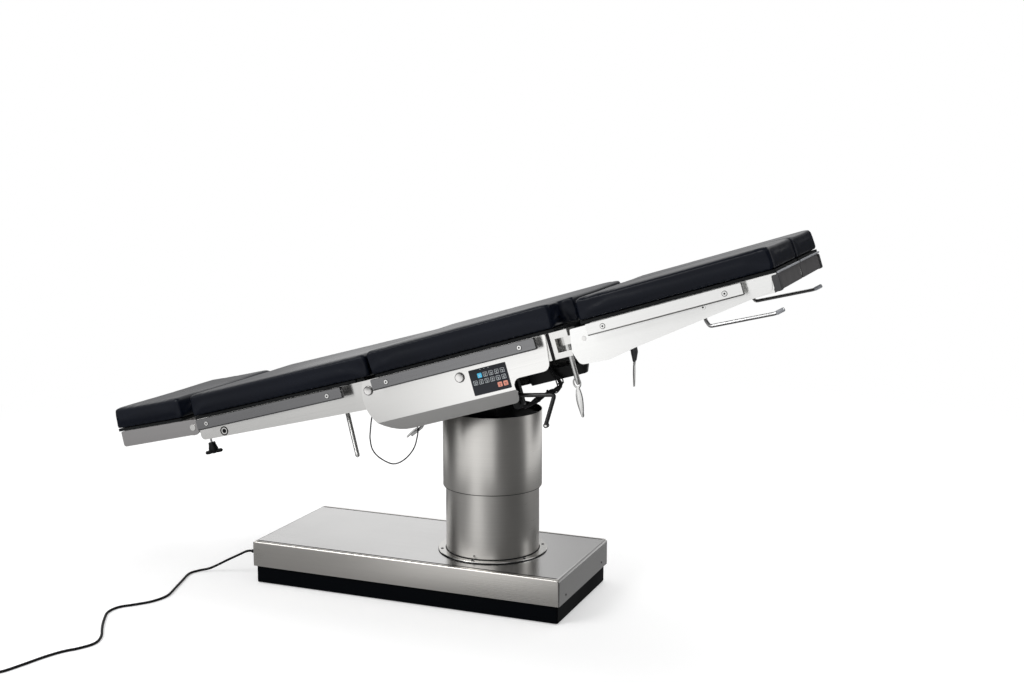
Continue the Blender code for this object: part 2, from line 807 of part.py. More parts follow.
def build_chassis():
    """The black tray of the base with its plinth and levelling feet."""
    inset = CHASSIS_INSET
    x = (BASE_HEAD_X + inset, BASE_FOOT_X - inset)
    half = BASE_HALF_WIDTH - inset
    tray = round_block(x, (-half, half), (FOOT_HEIGHT, CHASSIS_TOP_Z), COVER_CORNER)
    wall = CHASSIS_WALL
    pocket = round_block(
        (x[0] + wall, x[1] - wall),
        (wall - half, half - wall),
        (FOOT_HEIGHT + CHASSIS_FLOOR, CHASSIS_TOP_Z + wall),
        COVER_CORNER - wall,
    )
    tray = cut(tray, pocket)
    floor_z = FOOT_HEIGHT + CHASSIS_FLOOR - OVERLAP
    plinth = rod((0, 0, floor_z), (0, 0, plinth_top()), PLINTH_RADIUS, ROUND_STEPS)
    feet = []
    for foot_x in (x[0] + FOOT_INSET, x[1] - FOOT_INSET):
        for foot_y in (FOOT_INSET - half, half - FOOT_INSET):
            top = (foot_x, foot_y, FOOT_HEIGHT + OVERLAP)
            feet.append(rod((foot_x, foot_y, 0.0), top, FOOT_RADIUS, FASTENER_STEPS))
    tray = fused(tray, plinth, *feet)
    bore = rod(
        (0, 0, CYLINDER_BOTTOM_Z - GAP), (0, 0, BASE_TOP_Z), CYLINDER_RADIUS + GAP, ROUND_STEPS
    )
    return place("base_chassis", cut(tray, bore), None, (BLACK_PAINT, 0.5, 0.0))


def plinth_top():
    """Height of the plinth's top, just under the cover's sheet."""
    return BASE_TOP_Z - COVER_SHEET - GAP


def sheet_outline(inward):
    """The base cover's side outline, moved inward by a sheet's thickness or less."""
    bend = COVER_BEND - inward
    corners = [
        (BASE_HEAD_X + inward, COVER_BOTTOM_Z, 0.0),
        (BASE_HEAD_X + inward, BASE_TOP_Z - inward, bend),
        (BASE_FOOT_X - inward, BASE_TOP_Z - inward, bend),
        (BASE_FOOT_X - inward, COVER_BOTTOM_Z, 0.0),
    ]
    return rounded(corners)


def build_top_cover():
    """The folded sheet that forms the top and both ends of the base."""
    half = BASE_HALF_WIDTH
    shell = slab(sheet_outline(0.0), (-half, half))
    inside = sheet_outline(COVER_SHEET)
    inside = [(x, z - COVER_SHEET if z <= COVER_BOTTOM_Z + GAP else z) for x, z in inside]
    hollow = slab(inside, (-half - COVER_SHEET, half + COVER_SHEET))
    shell = cut(shell, hollow)
    rim = round_block((BASE_HEAD_X, BASE_FOOT_X), (-half, half), (0.0, BASE_TOP_Z), COVER_CORNER)
    moved(rim, Matrix.Translation((0.0, 0.0, COVER_SHEET)))
    shell = common(shell, rim)
    end = COVER_SHEET + GAP
    notches = []
    for side in (-1.0, 1.0):
        y = sorted((side * (half - COVER_LIP), side * (half + COVER_SHEET)))
        notches.append(box((BASE_HEAD_X + end, BASE_FOOT_X - end), y, (0.0, BASE_TOP_Z + end)))
    hole = rod((0, 0, 0), (0, 0, BASE_TOP_Z + end), LOWER_SLEEVE_RADIUS + GAP, ROUND_STEPS)
    return place("base_cover_top", cut(shell, hole, *notches), None, (STEEL, 0.3, 1.0))


def build_side_panel(name, side):
    """The front or rear panel of the base, with its rounded top bend."""
    outer = BASE_HALF_WIDTH
    inner = BASE_HALF_WIDTH - COVER_SHEET
    top = BASE_TOP_Z
    lip = BASE_HALF_WIDTH - COVER_LIP + GAP
    bend = COVER_LIP - COVER_SHEET
    corners = [
        (side * outer, COVER_BOTTOM_Z, 0.0),
        (side * outer, top, bend),
        (side * lip, top, 0.0),
        (side * lip, top - COVER_SHEET, 0.0),
        (side * inner, top - COVER_SHEET, bend - COVER_SHEET),
        (side * inner, COVER_BOTTOM_Z, 0.0),
    ]
    end = COVER_SHEET + GAP * 2
    panel = across(rounded(corners), (BASE_HEAD_X + end, BASE_FOOT_X - end))
    silhouette = slab(sheet_outline(GAP), (-outer - end, outer + end))
    return place(name, common(panel, silhouette), None, (STEEL, 0.32, 1.0))


def build_flange_ring():
    """The screwed ring round the foot of the column."""
    low = BASE_TOP_Z + GAP
    high = low + FLANGE_THICKNESS
    inner = LOWER_SLEEVE_RADIUS + GAP
    edge = FLANGE_CHAMFER
    profile = [
        (inner, low),
        (FLANGE_RADIUS, low),
        (FLANGE_RADIUS, high - edge),
        (FLANGE_RADIUS - edge, high),
        (inner, high),
    ]
    return place("column_flange_ring", turned(profile), None, (STEEL, 0.3, 1.0))


def build_lower_sleeve():
    """The fixed sleeve of the column."""
    z = (plinth_top() + GAP, LOWER_SLEEVE_TOP_Z)
    sleeve = tube(LOWER_SLEEVE_RADIUS - SLEEVE_WALL, LOWER_SLEEVE_RADIUS, z)
    return place("column_lower_sleeve", sleeve, None, (STEEL, 0.3, 1.0))


def guided_sleeve(outer, guide, z):
    """A sleeve with a ring inside its lower end that guides it on the next sleeve."""
    inner = outer - SLEEVE_WALL
    ring_top = z[0] + GUIDE_RING_HEIGHT
    profile = [
        (guide, z[0]),
        (outer, z[0]),
        (outer, z[1]),
        (inner, z[1]),
        (inner, ring_top),
        (guide, ring_top),
    ]
    return turned(profile)


def build_middle_sleeve(stage):
    """The hidden sleeve that bridges the other two."""
    z = (MIDDLE_SLEEVE_BOTTOM_Z, MIDDLE_SLEEVE_TOP_Z)
    sleeve = guided_sleeve(MIDDLE_SLEEVE_RADIUS, LOWER_SLEEVE_RADIUS + GAP, z)
    return place("column_middle_sleeve", sleeve, stage, (STEEL, 0.35, 1.0))


def build_upper_sleeve(lift):
    """The moving sleeve, open at its top."""
    z = (UPPER_SLEEVE_BOTTOM_Z, UPPER_SLEEVE_TOP_Z)
    inner = MIDDLE_SLEEVE_RADIUS + GAP
    sleeve = guided_sleeve(UPPER_SLEEVE_RADIUS, inner, z)
    return place("column_upper_sleeve", sleeve, lift, (STEEL, 0.3, 1.0))


def build_lift_cylinder():
    """The cylinder that stands in the plinth, open at its top."""
    body = rod(
        (0, 0, CYLINDER_BOTTOM_Z), (0, 0, CYLINDER_TOP_Z), CYLINDER_RADIUS, ROUND_STEPS
    )
    bottom = (0, 0, CYLINDER_BOTTOM_Z + CYLINDER_WALL)
    inner = RAM_RADIUS + GAP
    bore = rod(bottom, (0, 0, CYLINDER_TOP_Z + CYLINDER_WALL), inner, ROUND_STEPS)
    return place("lift_cylinder", cut(body, bore), None, (BLACK_PAINT, 0.4, 0.0))


def build_ram(lift):
    """The ram that pushes the column head."""
    top = HEAD_DISC_BOTTOM_Z - GAP
    shape = rod((0, 0, RAM_BOTTOM_Z), (0, 0, top), RAM_RADIUS, ROUND_STEPS)
    return place("lift_ram", shape, lift, (BRIGHT_STEEL, 0.15, 1.0))


def build_column_head(lift):
    """The disc in the top of the sleeve, with the fork of the tilt joint."""
    low = HEAD_DISC_BOTTOM_Z
    disc_top = low + HEAD_DISC_THICKNESS
    radius = UPPER_SLEEVE_RADIUS - SLEEVE_WALL - GAP
    disc = rod((0, 0, low), (0, 0, disc_top), radius, ROUND_STEPS)
    half_y = CHEEK_INNER_Y + CHEEK_THICKNESS
    half_x = CHEEK_HALF_LENGTH
    web = box((-half_x, half_x), (-half_y, half_y), (disc_top - OVERLAP, FORK_WEB_TOP_Z))
    shoulder = TILT_Z - CHEEK_SHOULDER_DROP
    outline = [(half_x, low + OVERLAP), (half_x, shoulder)]
    outline += arc((0.0, TILT_Z), CHEEK_TOP_RADIUS, 0.0, pi, ARC_STEPS * 2)
    outline += [(-half_x, shoulder), (-half_x, low + OVERLAP)]
    cheeks = []
    for side in (-1.0, 1.0):
        cheeks.append(slab(outline, (side * CHEEK_INNER_Y, side * half_y)))
    head = fused(disc, web, *cheeks)
    bore = cross_rod(0.0, (-half_y * 2, half_y * 2), TILT_Z, TRUNNION_RADIUS + GAP)
    return place("column_head", cut(head, bore), lift, (BLACK_PAINT, 0.45, 0.0))


def build_tilt_block(tilt):
    """The block between the fork's cheeks: trunnions across, roll shaft along."""
    half_length = BLOCK_HALF_LENGTH
    half_height = BLOCK_HALF_HEIGHT
    corners = []
    for x, z in ((-1, -1), (1, -1), (1, 1), (-1, 1)):
        corners.append((x * half_length, z * half_height, BLOCK_CORNER))
    block = slab(rounded(corners), (GAP - CHEEK_INNER_Y, CHEEK_INNER_Y - GAP))
    reach = CHEEK_INNER_Y + CHEEK_THICKNESS + GAP
    trunnion = cross_rod(0.0, (-reach - OVERLAP, reach + OVERLAP), 0.0, TRUNNION_RADIUS)
    caps = []
    for side in (-1.0, 1.0):
        y = (side * reach, side * (reach + TRUNNION_CAP_THICKNESS))
        caps.append(cross_rod(0.0, y, 0.0, TRUNNION_CAP_RADIUS))
    end = half_length + LUG_THICKNESS + GAP * 2
    shaft = rod((-end - OVERLAP, 0, 0), (end + OVERLAP, 0, 0), ROLL_SHAFT_RADIUS)
    for side in (-1.0, 1.0):
        far_end = side * (end + ROLL_COLLAR_THICKNESS)
        caps.append(rod((side * end, 0, 0), (far_end, 0, 0), ROLL_COLLAR_RADIUS))
    block = fused(block, trunnion, shaft, *caps)
    return place("tilt_block", block, tilt, (BLACK_PAINT, 0.4, 0.0))


def build_power_unit():
    """The pump tank with its motor, on the floor of the tray."""
    low = FOOT_HEIGHT + CHASSIS_FLOOR + GAP
    x = (UNIT_HEAD_X, UNIT_HEAD_X + UNIT_LENGTH)
    y = (-UNIT_HALF_WIDTH, UNIT_HALF_WIDTH)
    tank = round_block(x, y, (low, low + UNIT_HEIGHT), UNIT_CORNER)
    middle = low + UNIT_HEIGHT / 2
    ends = (x[1] - OVERLAP, x[1] + MOTOR_LENGTH)
    motor = rod((ends[0], 0, middle), (ends[1], 0, middle), MOTOR_RADIUS, ROUND_STEPS // 2)
    foot = box(ends, (-MOTOR_RADIUS / 2, MOTOR_RADIUS / 2), (low, middle))
    return place("power_unit", fused(tank, motor, foot), None, (BATTERY_GREY, 0.5, 0.0))


def build_battery():
    """The battery pack with its two terminals."""
    low = FOOT_HEIGHT + CHASSIS_FLOOR + GAP
    x = (BATTERY_HEAD_X, BATTERY_HEAD_X + BATTERY_LENGTH)
    top = low + BATTERY_HEIGHT
    case = round_block(x, (-BATTERY_HALF_WIDTH, BATTERY_HALF_WIDTH), (low, top), UNIT_CORNER)
    middle = (x[0] + x[1]) / 2
    posts = []
    for side in (-1.0, 1.0):
        y = side * TERMINAL_SPACING / 2
        post_top = (middle, y, top + TERMINAL_HEIGHT)
        posts.append(rod((middle, y, top - OVERLAP), post_top, TERMINAL_RADIUS))
    return place("battery_pack", fused(case, *posts), None, (BATTERY_GREY, 0.6, 0.0))


def build_gland():
    """The tapered strain relief on the head end of the base."""
    start = BASE_HEAD_X - GAP
    nut = rod((start, CORD_Y, CORD_Z), (start - GLAND_NUT_LENGTH, CORD_Y, CORD_Z), GLAND_NUT_RADIUS, 6)
    sleeve = rod(
        (start - GLAND_NUT_LENGTH + OVERLAP, CORD_Y, CORD_Z),
        (start - GLAND_LENGTH, CORD_Y, CORD_Z),
        GLAND_RADIUS,
        PIN_STEPS,
        GLAND_TIP_RADIUS,
    )
    return place("cord_gland", fused(nut, sleeve), None, (CABLE_BLACK, 0.6, 0.0))


def cord_start():
    """Where the cord leaves the tip of its gland."""
    return (BASE_HEAD_X - GLAND_LENGTH - GAP * 3, CORD_Y, CORD_Z)


def coil_entry():
    """Where the cord meets the coil, and the direction of the coil's rim there."""
    last = Vector(CORD_ROUTE[-1][:2])
    centre = Vector(COIL_CENTRE)
    away = (last - centre).normalized()
    return centre + away * (COIL_RADIUS + COIL_HALF_WIDTH + GAP * 2)


def build_cord():
    """The mains cord from the gland to the coil, as one smooth tube."""
    entry = coil_entry()
    points = [cord_start(), *CORD_ROUTE[:-1], (entry.x, entry.y, CORD_RADIUS)]
    route = smooth_route(points, 2)
    return place("mains_cord", cable("mains_cord", route, CORD_RADIUS), None, (CABLE_BLACK, 0.5, 0.0))


def build_coil():
    """The outer shape of the coiled rest of the cord."""
    inner = COIL_RADIUS - COIL_HALF_WIDTH
    outer = COIL_RADIUS + COIL_HALF_WIDTH
    ring = tube(inner, outer, (0.0, COIL_HEIGHT), ROUND_STEPS // 2)
    moved(ring, Matrix.Translation((*COIL_CENTRE, 0.0)))
    return place("cord_coil", ring, None, (CABLE_BLACK, 0.5, 0.0))


def build_plug():
    """The round mains plug, lying on the coil with its two pins."""
    x, y = COIL_CENTRE
    y -= COIL_RADIUS
    z = COIL_HEIGHT + PLUG_RADIUS + GAP
    start = x - PLUG_LENGTH / 2
    body = rod((start, y, z), (start + PLUG_LENGTH, y, z), PLUG_RADIUS)
    pins = []
    for side in (-1.0, 1.0):
        pin_y = y + side * PLUG_PIN_SPACING / 2
        begin = (start + PLUG_LENGTH - OVERLAP, pin_y, z)
        end = (start + PLUG_LENGTH + PLUG_PIN_LENGTH, pin_y, z)
        pins.append(rod(begin, end, PLUG_PIN_RADIUS, PIN_STEPS // 2))
    return place("mains_plug", fused(body, *pins), None, (CABLE_BLACK, 0.5, 0.0))


def beam_outline():
    """The side beam's outline, with its round hinge end and the notch for the back board."""
    hinge = (BACK_HINGE_S, BACK_HINGE_H)
    start = atan2(BEAM_NOTCH_H - BACK_HINGE_H, BEAM_END_RADIUS)
    top = FRAME_TOP_H - GAP * 2
    outline = arc(hinge, BEAM_END_RADIUS, start, pi + start, ARC_STEPS * 3)
    outline += arc(hinge, BEAM_END_RADIUS, pi + start, 2 * pi - BEAM_END_TURN, ARC_STEPS)[1:]
    outline += [(BACK_HINGE_S + BEAM_NOTCH_LENGTH, BEAM_BOTTOM_H), (CLEVIS[0] - GAP, BEAM_BOTTOM_H)]
    outline += [(CLEVIS[0] - GAP, top), (BACK_HINGE_S + BEAM_NOTCH_LENGTH, top)]
    outline.append((BACK_HINGE_S + BEAM_NOTCH_LENGTH, BEAM_NOTCH_H))
    return outline


def cross_places():
    """Where the seat's cross members start, along the section."""
    zero = seat_offset().x
    lug = BLOCK_HALF_LENGTH + GAP
    return (lug - zero, -lug - CROSS_WIDTH - zero, KNUCKLE_CROSS_S, FRONT_CROSS_S)


def build_seat_frame(seat):
    """The black frame under the seat: beams, cross members, lugs, hinge bolts and knuckle."""
    top = FRAME_TOP_H - GAP * 2
    pieces = []
    for side in (-1.0, 1.0):
        pieces.append(slab(beam_outline(), (side * BEAM_INNER_Y, side * BEAM_OUTER_Y)))
        pieces += seat_bolts(side)
    reach = BEAM_INNER_Y + OVERLAP
    for start in cross_places():
        x = (start, start + CROSS_WIDTH)
        pieces.append(box(x, (-reach, reach), (CROSS_BOTTOM_H, top)))
    pieces += roll_lugs()
    pieces += knuckle()
    frame = fused(pieces[0], *pieces[1:])
    zero = seat_offset()
    end = BLOCK_HALF_LENGTH + LUG_THICKNESS + CROSS_WIDTH
    bore = rod((-end - zero.x, 0, -zero.z), (end - zero.x, 0, -zero.z), ROLL_SHAFT_RADIUS + GAP)
    return place("seat_frame", cut(frame, bore), seat, (BLACK_PAINT, 0.45, 0.0))


def roll_lugs():
    """The two lugs that turn on the roll shaft."""
    zero = seat_offset()
    lugs = []
    inner = BLOCK_HALF_LENGTH + GAP
    for side in (-1.0, 1.0):
        ends = (side * inner - zero.x, side * (inner + LUG_THICKNESS) - zero.x)
        outline = arc((0.0, -zero.z), LUG_RADIUS, pi, 2 * pi, ARC_STEPS * 3)
        outline += [(LUG_RADIUS, CROSS_BOTTOM_H + OVERLAP), (-LUG_RADIUS, CROSS_BOTTOM_H + OVERLAP)]
        lugs.append(across(outline, ends))
    return lugs


def seat_bolts(side):
    """The hinge bolt, the polished bolt and the bosses that carry one cover."""
    head = SEAT_COVER_OUTER_Y + GAP
    inner = side * (BEAM_OUTER_Y - OVERLAP)
    outer = side * (head + OVERLAP)
    cover = side * (SEAT_COVER_OUTER_Y - SHEET - GAP)
    bolts = [
        cross_rod(BACK_HINGE_S, (inner, outer), BACK_HINGE_H, HINGE_BOLT_RADIUS),
        cross_rod(TRIM_BOLT_S, (inner, outer), TRIM_BOLT_H, TRIM_BOLT_SHANK),
        cross_rod(TRIM_BOLT_S, (side * (BEAM_INNER_Y + OVERLAP), cover), TRIM_BOLT_H, TRIM_BOSS_RADIUS),
    ]
    for s, h, radius in (
        (BACK_HINGE_S, BACK_HINGE_H, HINGE_HEAD_RADIUS),
        (TRIM_BOLT_S, TRIM_BOLT_H, TRIM_BOLT_RADIUS),
    ):
        cap = (side * head, side * (head + HINGE_HEAD_HEIGHT))
        bolts.append(cross_rod(s, cap, h, radius))
    for s in COVER_BOSS_S:
        bolts.append(cross_rod(s, (inner, cover), COVER_BOSS_H, COVER_BOSS_RADIUS, FASTENER_STEPS))
    return bolts


def knuckle():
    """The block with two bolts that carries the crank lever on the near side."""
    x = (KNUCKLE_CROSS_S, KNUCKLE_CROSS_S + CROSS_WIDTH)
    corners = [
        (x[0], CROSS_BOTTOM_H + OVERLAP, 0.0),
        (x[1], CROSS_BOTTOM_H + OVERLAP, 0.0),
        (x[1], KNUCKLE_BOTTOM_H, KNUCKLE_CORNER),
        (x[0], KNUCKLE_BOTTOM_H, KNUCKLE_CORNER),
    ]
    block = slab(rounded(corners), (-KNUCKLE_OUTER_Y, -KNUCKLE_INNER_Y))
    stub_end = -CRANK_Y - CRANK_HUB_RADIUS / 2
    stub = cross_rod(
        CRANK_PIVOT[0], (-KNUCKLE_OUTER_Y + OVERLAP, stub_end), CRANK_PIVOT[1], KNUCKLE_BOLT_RADIUS
    )
    middle = (x[0] + x[1]) / 2
    low = KNUCKLE_BOTTOM_H + CROSS_WIDTH / 2
    bolt = cross_rod(
        middle, (-KNUCKLE_OUTER_Y + OVERLAP, -KNUCKLE_OUTER_Y - CRANK_RADIUS), low, KNUCKLE_BOLT_RADIUS
    )
    return [block, stub, bolt]


def cover_outline():
    """The seat cover's side outline, round at its head end and stepped at its foot end."""
    top = FRAME_TOP_H - GAP
    centre = (COVER_ARC_S, COVER_ARC_H)
    start = pi - asin((top - COVER_ARC_H) / COVER_ARC_RADIUS)
    outline = arc(centre, COVER_ARC_RADIUS, start, 3 * pi / 2, ARC_STEPS * 3)
    first = (*outline[-1], 0.0)
    last = (*outline[0], 0.0)
    foot = rounded([first, *COVER_FOOT_POINTS, last])
    return outline + foot[1:-1]


def build_seat_cover(name, side, seat):
    """A side cover of the seat: a flat sheet whose lower flange leans inward."""
    y = sorted((side * SEAT_COVER_OUTER_Y, side * (SEAT_COVER_OUTER_Y - SHEET)))
    cover = slab(cover_outline(), y)
    holes = []
    for s, h, radius in (
        (BACK_HINGE_S, BACK_HINGE_H, HINGE_BOLT_RADIUS),
        (TRIM_BOLT_S, TRIM_BOLT_H, TRIM_BOLT_SHANK),
    ):
        holes.append(cross_rod(s, (y[0] - SHEET, y[1] + SHEET), h, radius + COVER_HOLE_SPACE))
    cover = cut(cover, *holes)
    lean_flange(cover, side)
    return place(name, cover, seat, (BRIGHT_STEEL, 0.35, 1.0))


def lean_flange(cover, side):
    """Cuts the sheet along its fold line and leans what lies below it inward."""
    bm = bmesh.new()
    bm.from_mesh(cover.data)
    everything = bm.verts[:] + bm.edges[:] + bm.faces[:]
    bmesh.ops.bisect_plane(bm, geom=everything, plane_co=(0, 0, COVER_FOLD_H), plane_no=(0, 0, 1))
    depth = COVER_FOLD_H - COVER_BOTTOM_H
    for vert in bm.verts:
        below = COVER_FOLD_H - vert.co.z
        if below > 0.0:
            vert.co.y -= side * COVER_FLANGE_LEAN * below / depth
    bmesh.ops.triangulate(bm, faces=bm.faces)
    bm.to_mesh(cover.data)
    bm.free()


def build_rail(name, side, ends, screws, carrier_y, section):
    """A side rail with its spacers and screw heads."""
    outer = side * RAIL_OUTER_Y
    inner = side * (RAIL_OUTER_Y - RAIL_THICKNESS)
    half = RAIL_HEIGHT / 2
    corners = []
    for s, h in ((ends[0], -half), (ends[1], -half), (ends[1], half), (ends[0], half)):
        corners.append((s, h, RAIL_END_ROUND))
    shapes = [slab(rounded(corners), (inner, outer))]
    for s in screws:
        spacer = (side * (carrier_y + GAP), inner + side * OVERLAP)
        shapes.append(cross_rod(s, spacer, 0.0, RAIL_SPACER_RADIUS, FASTENER_STEPS))
        head = (outer - side * OVERLAP, outer + side * RAIL_SCREW_HEIGHT)
        shapes.append(cross_rod(s, head, 0.0, RAIL_SCREW_RADIUS, FASTENER_STEPS))
    return place(name, fused(shapes[0], *shapes[1:]), section, (STEEL, 0.3, 1.0))


def board_height():
    """Lower and upper face of the boards that carry the pads."""
    return (FRAME_TOP_H + GAP, FRAME_TOP_H + GAP + BOARD_THICKNESS)


def build_board(name, s, y, section, lift_by=0.0):
    """A flat board under a pad."""
    low, high = board_height()
    board = round_block(s, y, (low + lift_by, high + lift_by), RAIL_END_ROUND)
    return place(name, board, section, (BOARD_BLACK, 0.6, 0.0))


def fold_reach(h):
    """How far the board of the raised back section reaches over the seat, at a height h."""
    turn = BACK_FOLD_UP + BACK_RISE
    face = board_height()[1] - BACK_HINGE_H
    return BACK_HINGE_S + (face - (h - BACK_HINGE_H) * cos(turn)) / sin(turn) + FOLD_SPACE


def build_back_board(back):
    """The back section's board, narrower where it turns down between the seat covers."""
    head, foot = BACK_BOARD
    neck = foot - BACK_BOARD_NECK
    half = BOARD_HALF_WIDTH
    inner = SEAT_COVER_OUTER_Y - SHEET - FOLD_SPACE
    corners = [
        (head, -half, RAIL_END_ROUND),
        (neck, -half, RAIL_END_ROUND),
        (neck, -inner, 0.0),
        (foot, -inner, RAIL_END_ROUND),
        (foot, inner, RAIL_END_ROUND),
        (neck, inner, 0.0),
        (neck, half, RAIL_END_ROUND),
        (head, half, RAIL_END_ROUND),
    ]
    board = plan(rounded(corners), board_height())
    return place("back_board", board, back, (BOARD_BLACK, 0.6, 0.0))


def fold_wedge(low, high):
    """The space at the head end of the seat cushion that the raised back board takes."""
    below = low - FOLD_SPACE
    above = high + FOLD_SPACE
    outside = SEAT_PAD[0] - PAD_CORNER
    reach = PAD_HALF_WIDTH + PAD_CORNER
    outline = [(outside, below), (fold_reach(below), below), (fold_reach(above), above), (outside, above)]
    return slab(outline, (-reach, reach))


def build_pad(name, s, y, top, section, lift_by=0.0):
    """A plain cushion on its board."""
    low = board_height()[1] + GAP + lift_by
    pad = pad_block(s, y, (low, top), PAD_CORNER, PAD_EDGE)
    return place(name, pad, section, (PAD_COVER, 0.35, 0.0))


def build_seat_pad(seat):
    """The seat cushion, with a narrower tongue at its foot end."""
    low = board_height()[1] + GAP
    half = PAD_HALF_WIDTH
    tongue = SEAT_TONGUE_HALF_WIDTH
    corners = [
        (SEAT_PAD[0], -half, PAD_END_CORNER),
        (SEAT_PAD[1], -half, PAD_CORNER),
        (SEAT_PAD[1], -tongue, 0.0),
        (SEAT_TONGUE_END, -tongue, TONGUE_CORNER),
        (SEAT_TONGUE_END, tongue, TONGUE_CORNER),
        (SEAT_PAD[1], tongue, 0.0),
        (SEAT_PAD[1], half, PAD_CORNER),
        (SEAT_PAD[0], half, PAD_END_CORNER),
    ]
    shape = plan(rounded(corners), (low, SEAT_PAD_TOP_H))
    bm = bmesh.new()
    bm.from_mesh(shape.data)
    rim = [e for e in bm.edges if all(abs(v.co.z - SEAT_PAD_TOP_H) < GAP for v in e.verts)]
    bmesh.ops.bevel(
        bm,
        geom=rim,
        offset=SEAT_PAD_EDGE,
        segments=PAD_STEPS,
        profile=0.5,
        affect="EDGES",
        clamp_overlap=True,
    )
    bm.to_mesh(shape.data)
    bm.free()
    shape = cut(shape, fold_wedge(low, SEAT_PAD_TOP_H))
    return place("seat_pad", shape, seat, (PAD_COVER, 0.35, 0.0))


def build_keypad(seat):
    """The hand control panel set on the near cover, with its keys."""
    outer = -SEAT_COVER_OUTER_Y - GAP
    face = outer - KEYPAD_THICKNESS
    half_s = KEYPAD_LENGTH / 2
    half_h = KEYPAD_HEIGHT / 2
    plate = box(
        (KEYPAD_S - half_s, KEYPAD_S + half_s), (face, outer), (KEYPAD_H - half_h, KEYPAD_H + half_h)
    )
    keys = []
    for count, row_h, shift in KEY_ROWS:
        for index in range(count):
            s = KEYPAD_S + (index + shift - (KEY_COLUMNS - 1) / 2) * KEY_PITCH
            h = KEYPAD_H + row_h
            half = KEY_SIZE / 2
            y = (face - KEY_HEIGHT, face + OVERLAP)
            keys.append(box((s - half, s + half), y, (h - half, h + half)))
    return place("keypad", fused(plate, *keys), seat, (PANEL_BLACK, 0.4, 0.0))


def build_clevis(name, side, seat):
    """The forked block that carries one leg section."""
    y = (side * CLEVIS_INNER_Y, side * CLEVIS_OUTER_Y)
    block = box(CLEVIS, sorted(y), (CLEVIS_BOTTOM_H, CLEVIS_TOP_H))
    wide = sorted((side * (CLEVIS_INNER_Y - SHEET), side * (CLEVIS_OUTER_Y + SHEET)))
    slot = box(
        (CLEVIS_SLOT_S, CLEVIS[1] + SHEET), wide, (CLEVIS_SLOT_BOTTOM_H, CLEVIS_SLOT_TOP_H)
    )
    bore = rod(
        (SWING_S, side * SWING_Y, CLEVIS_BOTTOM_H - SHEET),
        (SWING_S, side * SWING_Y, CLEVIS_TOP_H + SHEET),
        SPINDLE_RADIUS + GAP,
    )
    return place(name, cut(block, slot, bore), seat, (STEEL, 0.3, 1.0))


def build_under_beam(name, side, seat):
    """The black arm under the foot end of the seat, with its hanger."""
    half = UNDER_BEAM_THICKNESS / 2
    y = (side * (UNDER_BEAM_Y - half), side * (UNDER_BEAM_Y + half))
    low = UNDER_BEAM_BOTTOM_H
    high = UNDER_BEAM_TOP_H
    corners = [
        (UNDER_BEAM[0], low, UNDER_BEAM_CORNER),
        (UNDER_BEAM[1] - UNDER_BEAM_NOSE, low, UNDER_BEAM_ROUND),
        (UNDER_BEAM[1], high - UNDER_BEAM_ROUND, UNDER_BEAM_ROUND),
        (UNDER_BEAM[1] - UNDER_BEAM_SLOPE, high, UNDER_BEAM_CORNER),
        (UNDER_BEAM[0], high, UNDER_BEAM_CORNER),
    ]
    arm = slab(rounded(corners), y)
    hanger_x = (FRONT_CROSS_S, FRONT_CROSS_S + UNDER_HANGER_LENGTH)
    hanger = box(hanger_x, sorted(y), (high - OVERLAP, CROSS_BOTTOM_H - GAP))
    return place(name, fused(arm, hanger), seat, (BLACK_PAINT, 0.4, 0.0))


def build_crank(crank):
    """The bent hand lever on the knuckle's stub."""
    pivot_s, pivot_h = CRANK_PIVOT
    y = -CRANK_Y
    half = CRANK_HUB_RADIUS / 2
    hub = cross_rod(pivot_s, (y - half, y + half), pivot_h, CRANK_HUB_RADIUS)
    points = [(pivot_s, y, pivot_h), (CRANK_ELBOW[0], y, CRANK_ELBOW[1]), (CRANK_TIP[0], y, CRANK_TIP[1])]
    arm = bent_rod(points, CRANK_RADIUS, CRANK_BEND)
    lever = fused(hub, arm)
    bore = cross_rod(pivot_s, (y - half * 2, y + half * 2), pivot_h, KNUCKLE_BOLT_RADIUS + GAP)
    eye = cross_rod(
        CRANK_TIP[0] + CRANK_RADIUS / 2,
        (y - half * 2, y + half * 2),
        CRANK_TIP[1] + CRANK_RADIUS,
        CRANK_EYE_RADIUS,
        PIN_STEPS // 2,
    )
    return place("crank_lever", cut(lever, bore, eye), crank, (BLACK_PAINT, 0.35, 0.0))


def build_clamp_lever(name, side, axis):
    """The clamp spindle through the clevis, its eye and the tapered handle."""
    y = side * SWING_Y
    shapes = [
        rod((SWING_S, y, SPINDLE_EYE_H), (SWING_S, y, SPINDLE_TOP_H), SPINDLE_RADIUS),
        rod(
            (SWING_S, y, CLEVIS_SLOT_BOTTOM_H + GAP),
            (SWING_S, y, LUG_BOTTOM_H - GAP),
            SPINDLE_COLLAR_RADIUS,
        ),
        rod(
            (SWING_S, y - SPINDLE_RADIUS, SPINDLE_EYE_H),
            (SWING_S, y + SPINDLE_RADIUS, SPINDLE_EYE_H),
            SPINDLE_EYE_RADIUS,
        ),
    ]
    middle_h = (SPINDLE_EYE_H + HANDLE_END_H) / 2
    belly = (SWING_S - HANDLE_BELLY_SWAY, y, middle_h)
    tip = (SWING_S - HANDLE_SWAY, y, HANDLE_END_H)
    root = (SWING_S, y, SPINDLE_EYE_H)
    shapes.append(rod(root, belly, HANDLE_TOP_RADIUS, PIN_STEPS, HANDLE_BELLY_RADIUS))
    shapes.append(rod(belly, tip, HANDLE_BELLY_RADIUS, PIN_STEPS, HANDLE_END_RADIUS))
    return place(name, fused(shapes[0], *shapes[1:]), axis, (BRIGHT_STEEL, 0.15, 1.0))


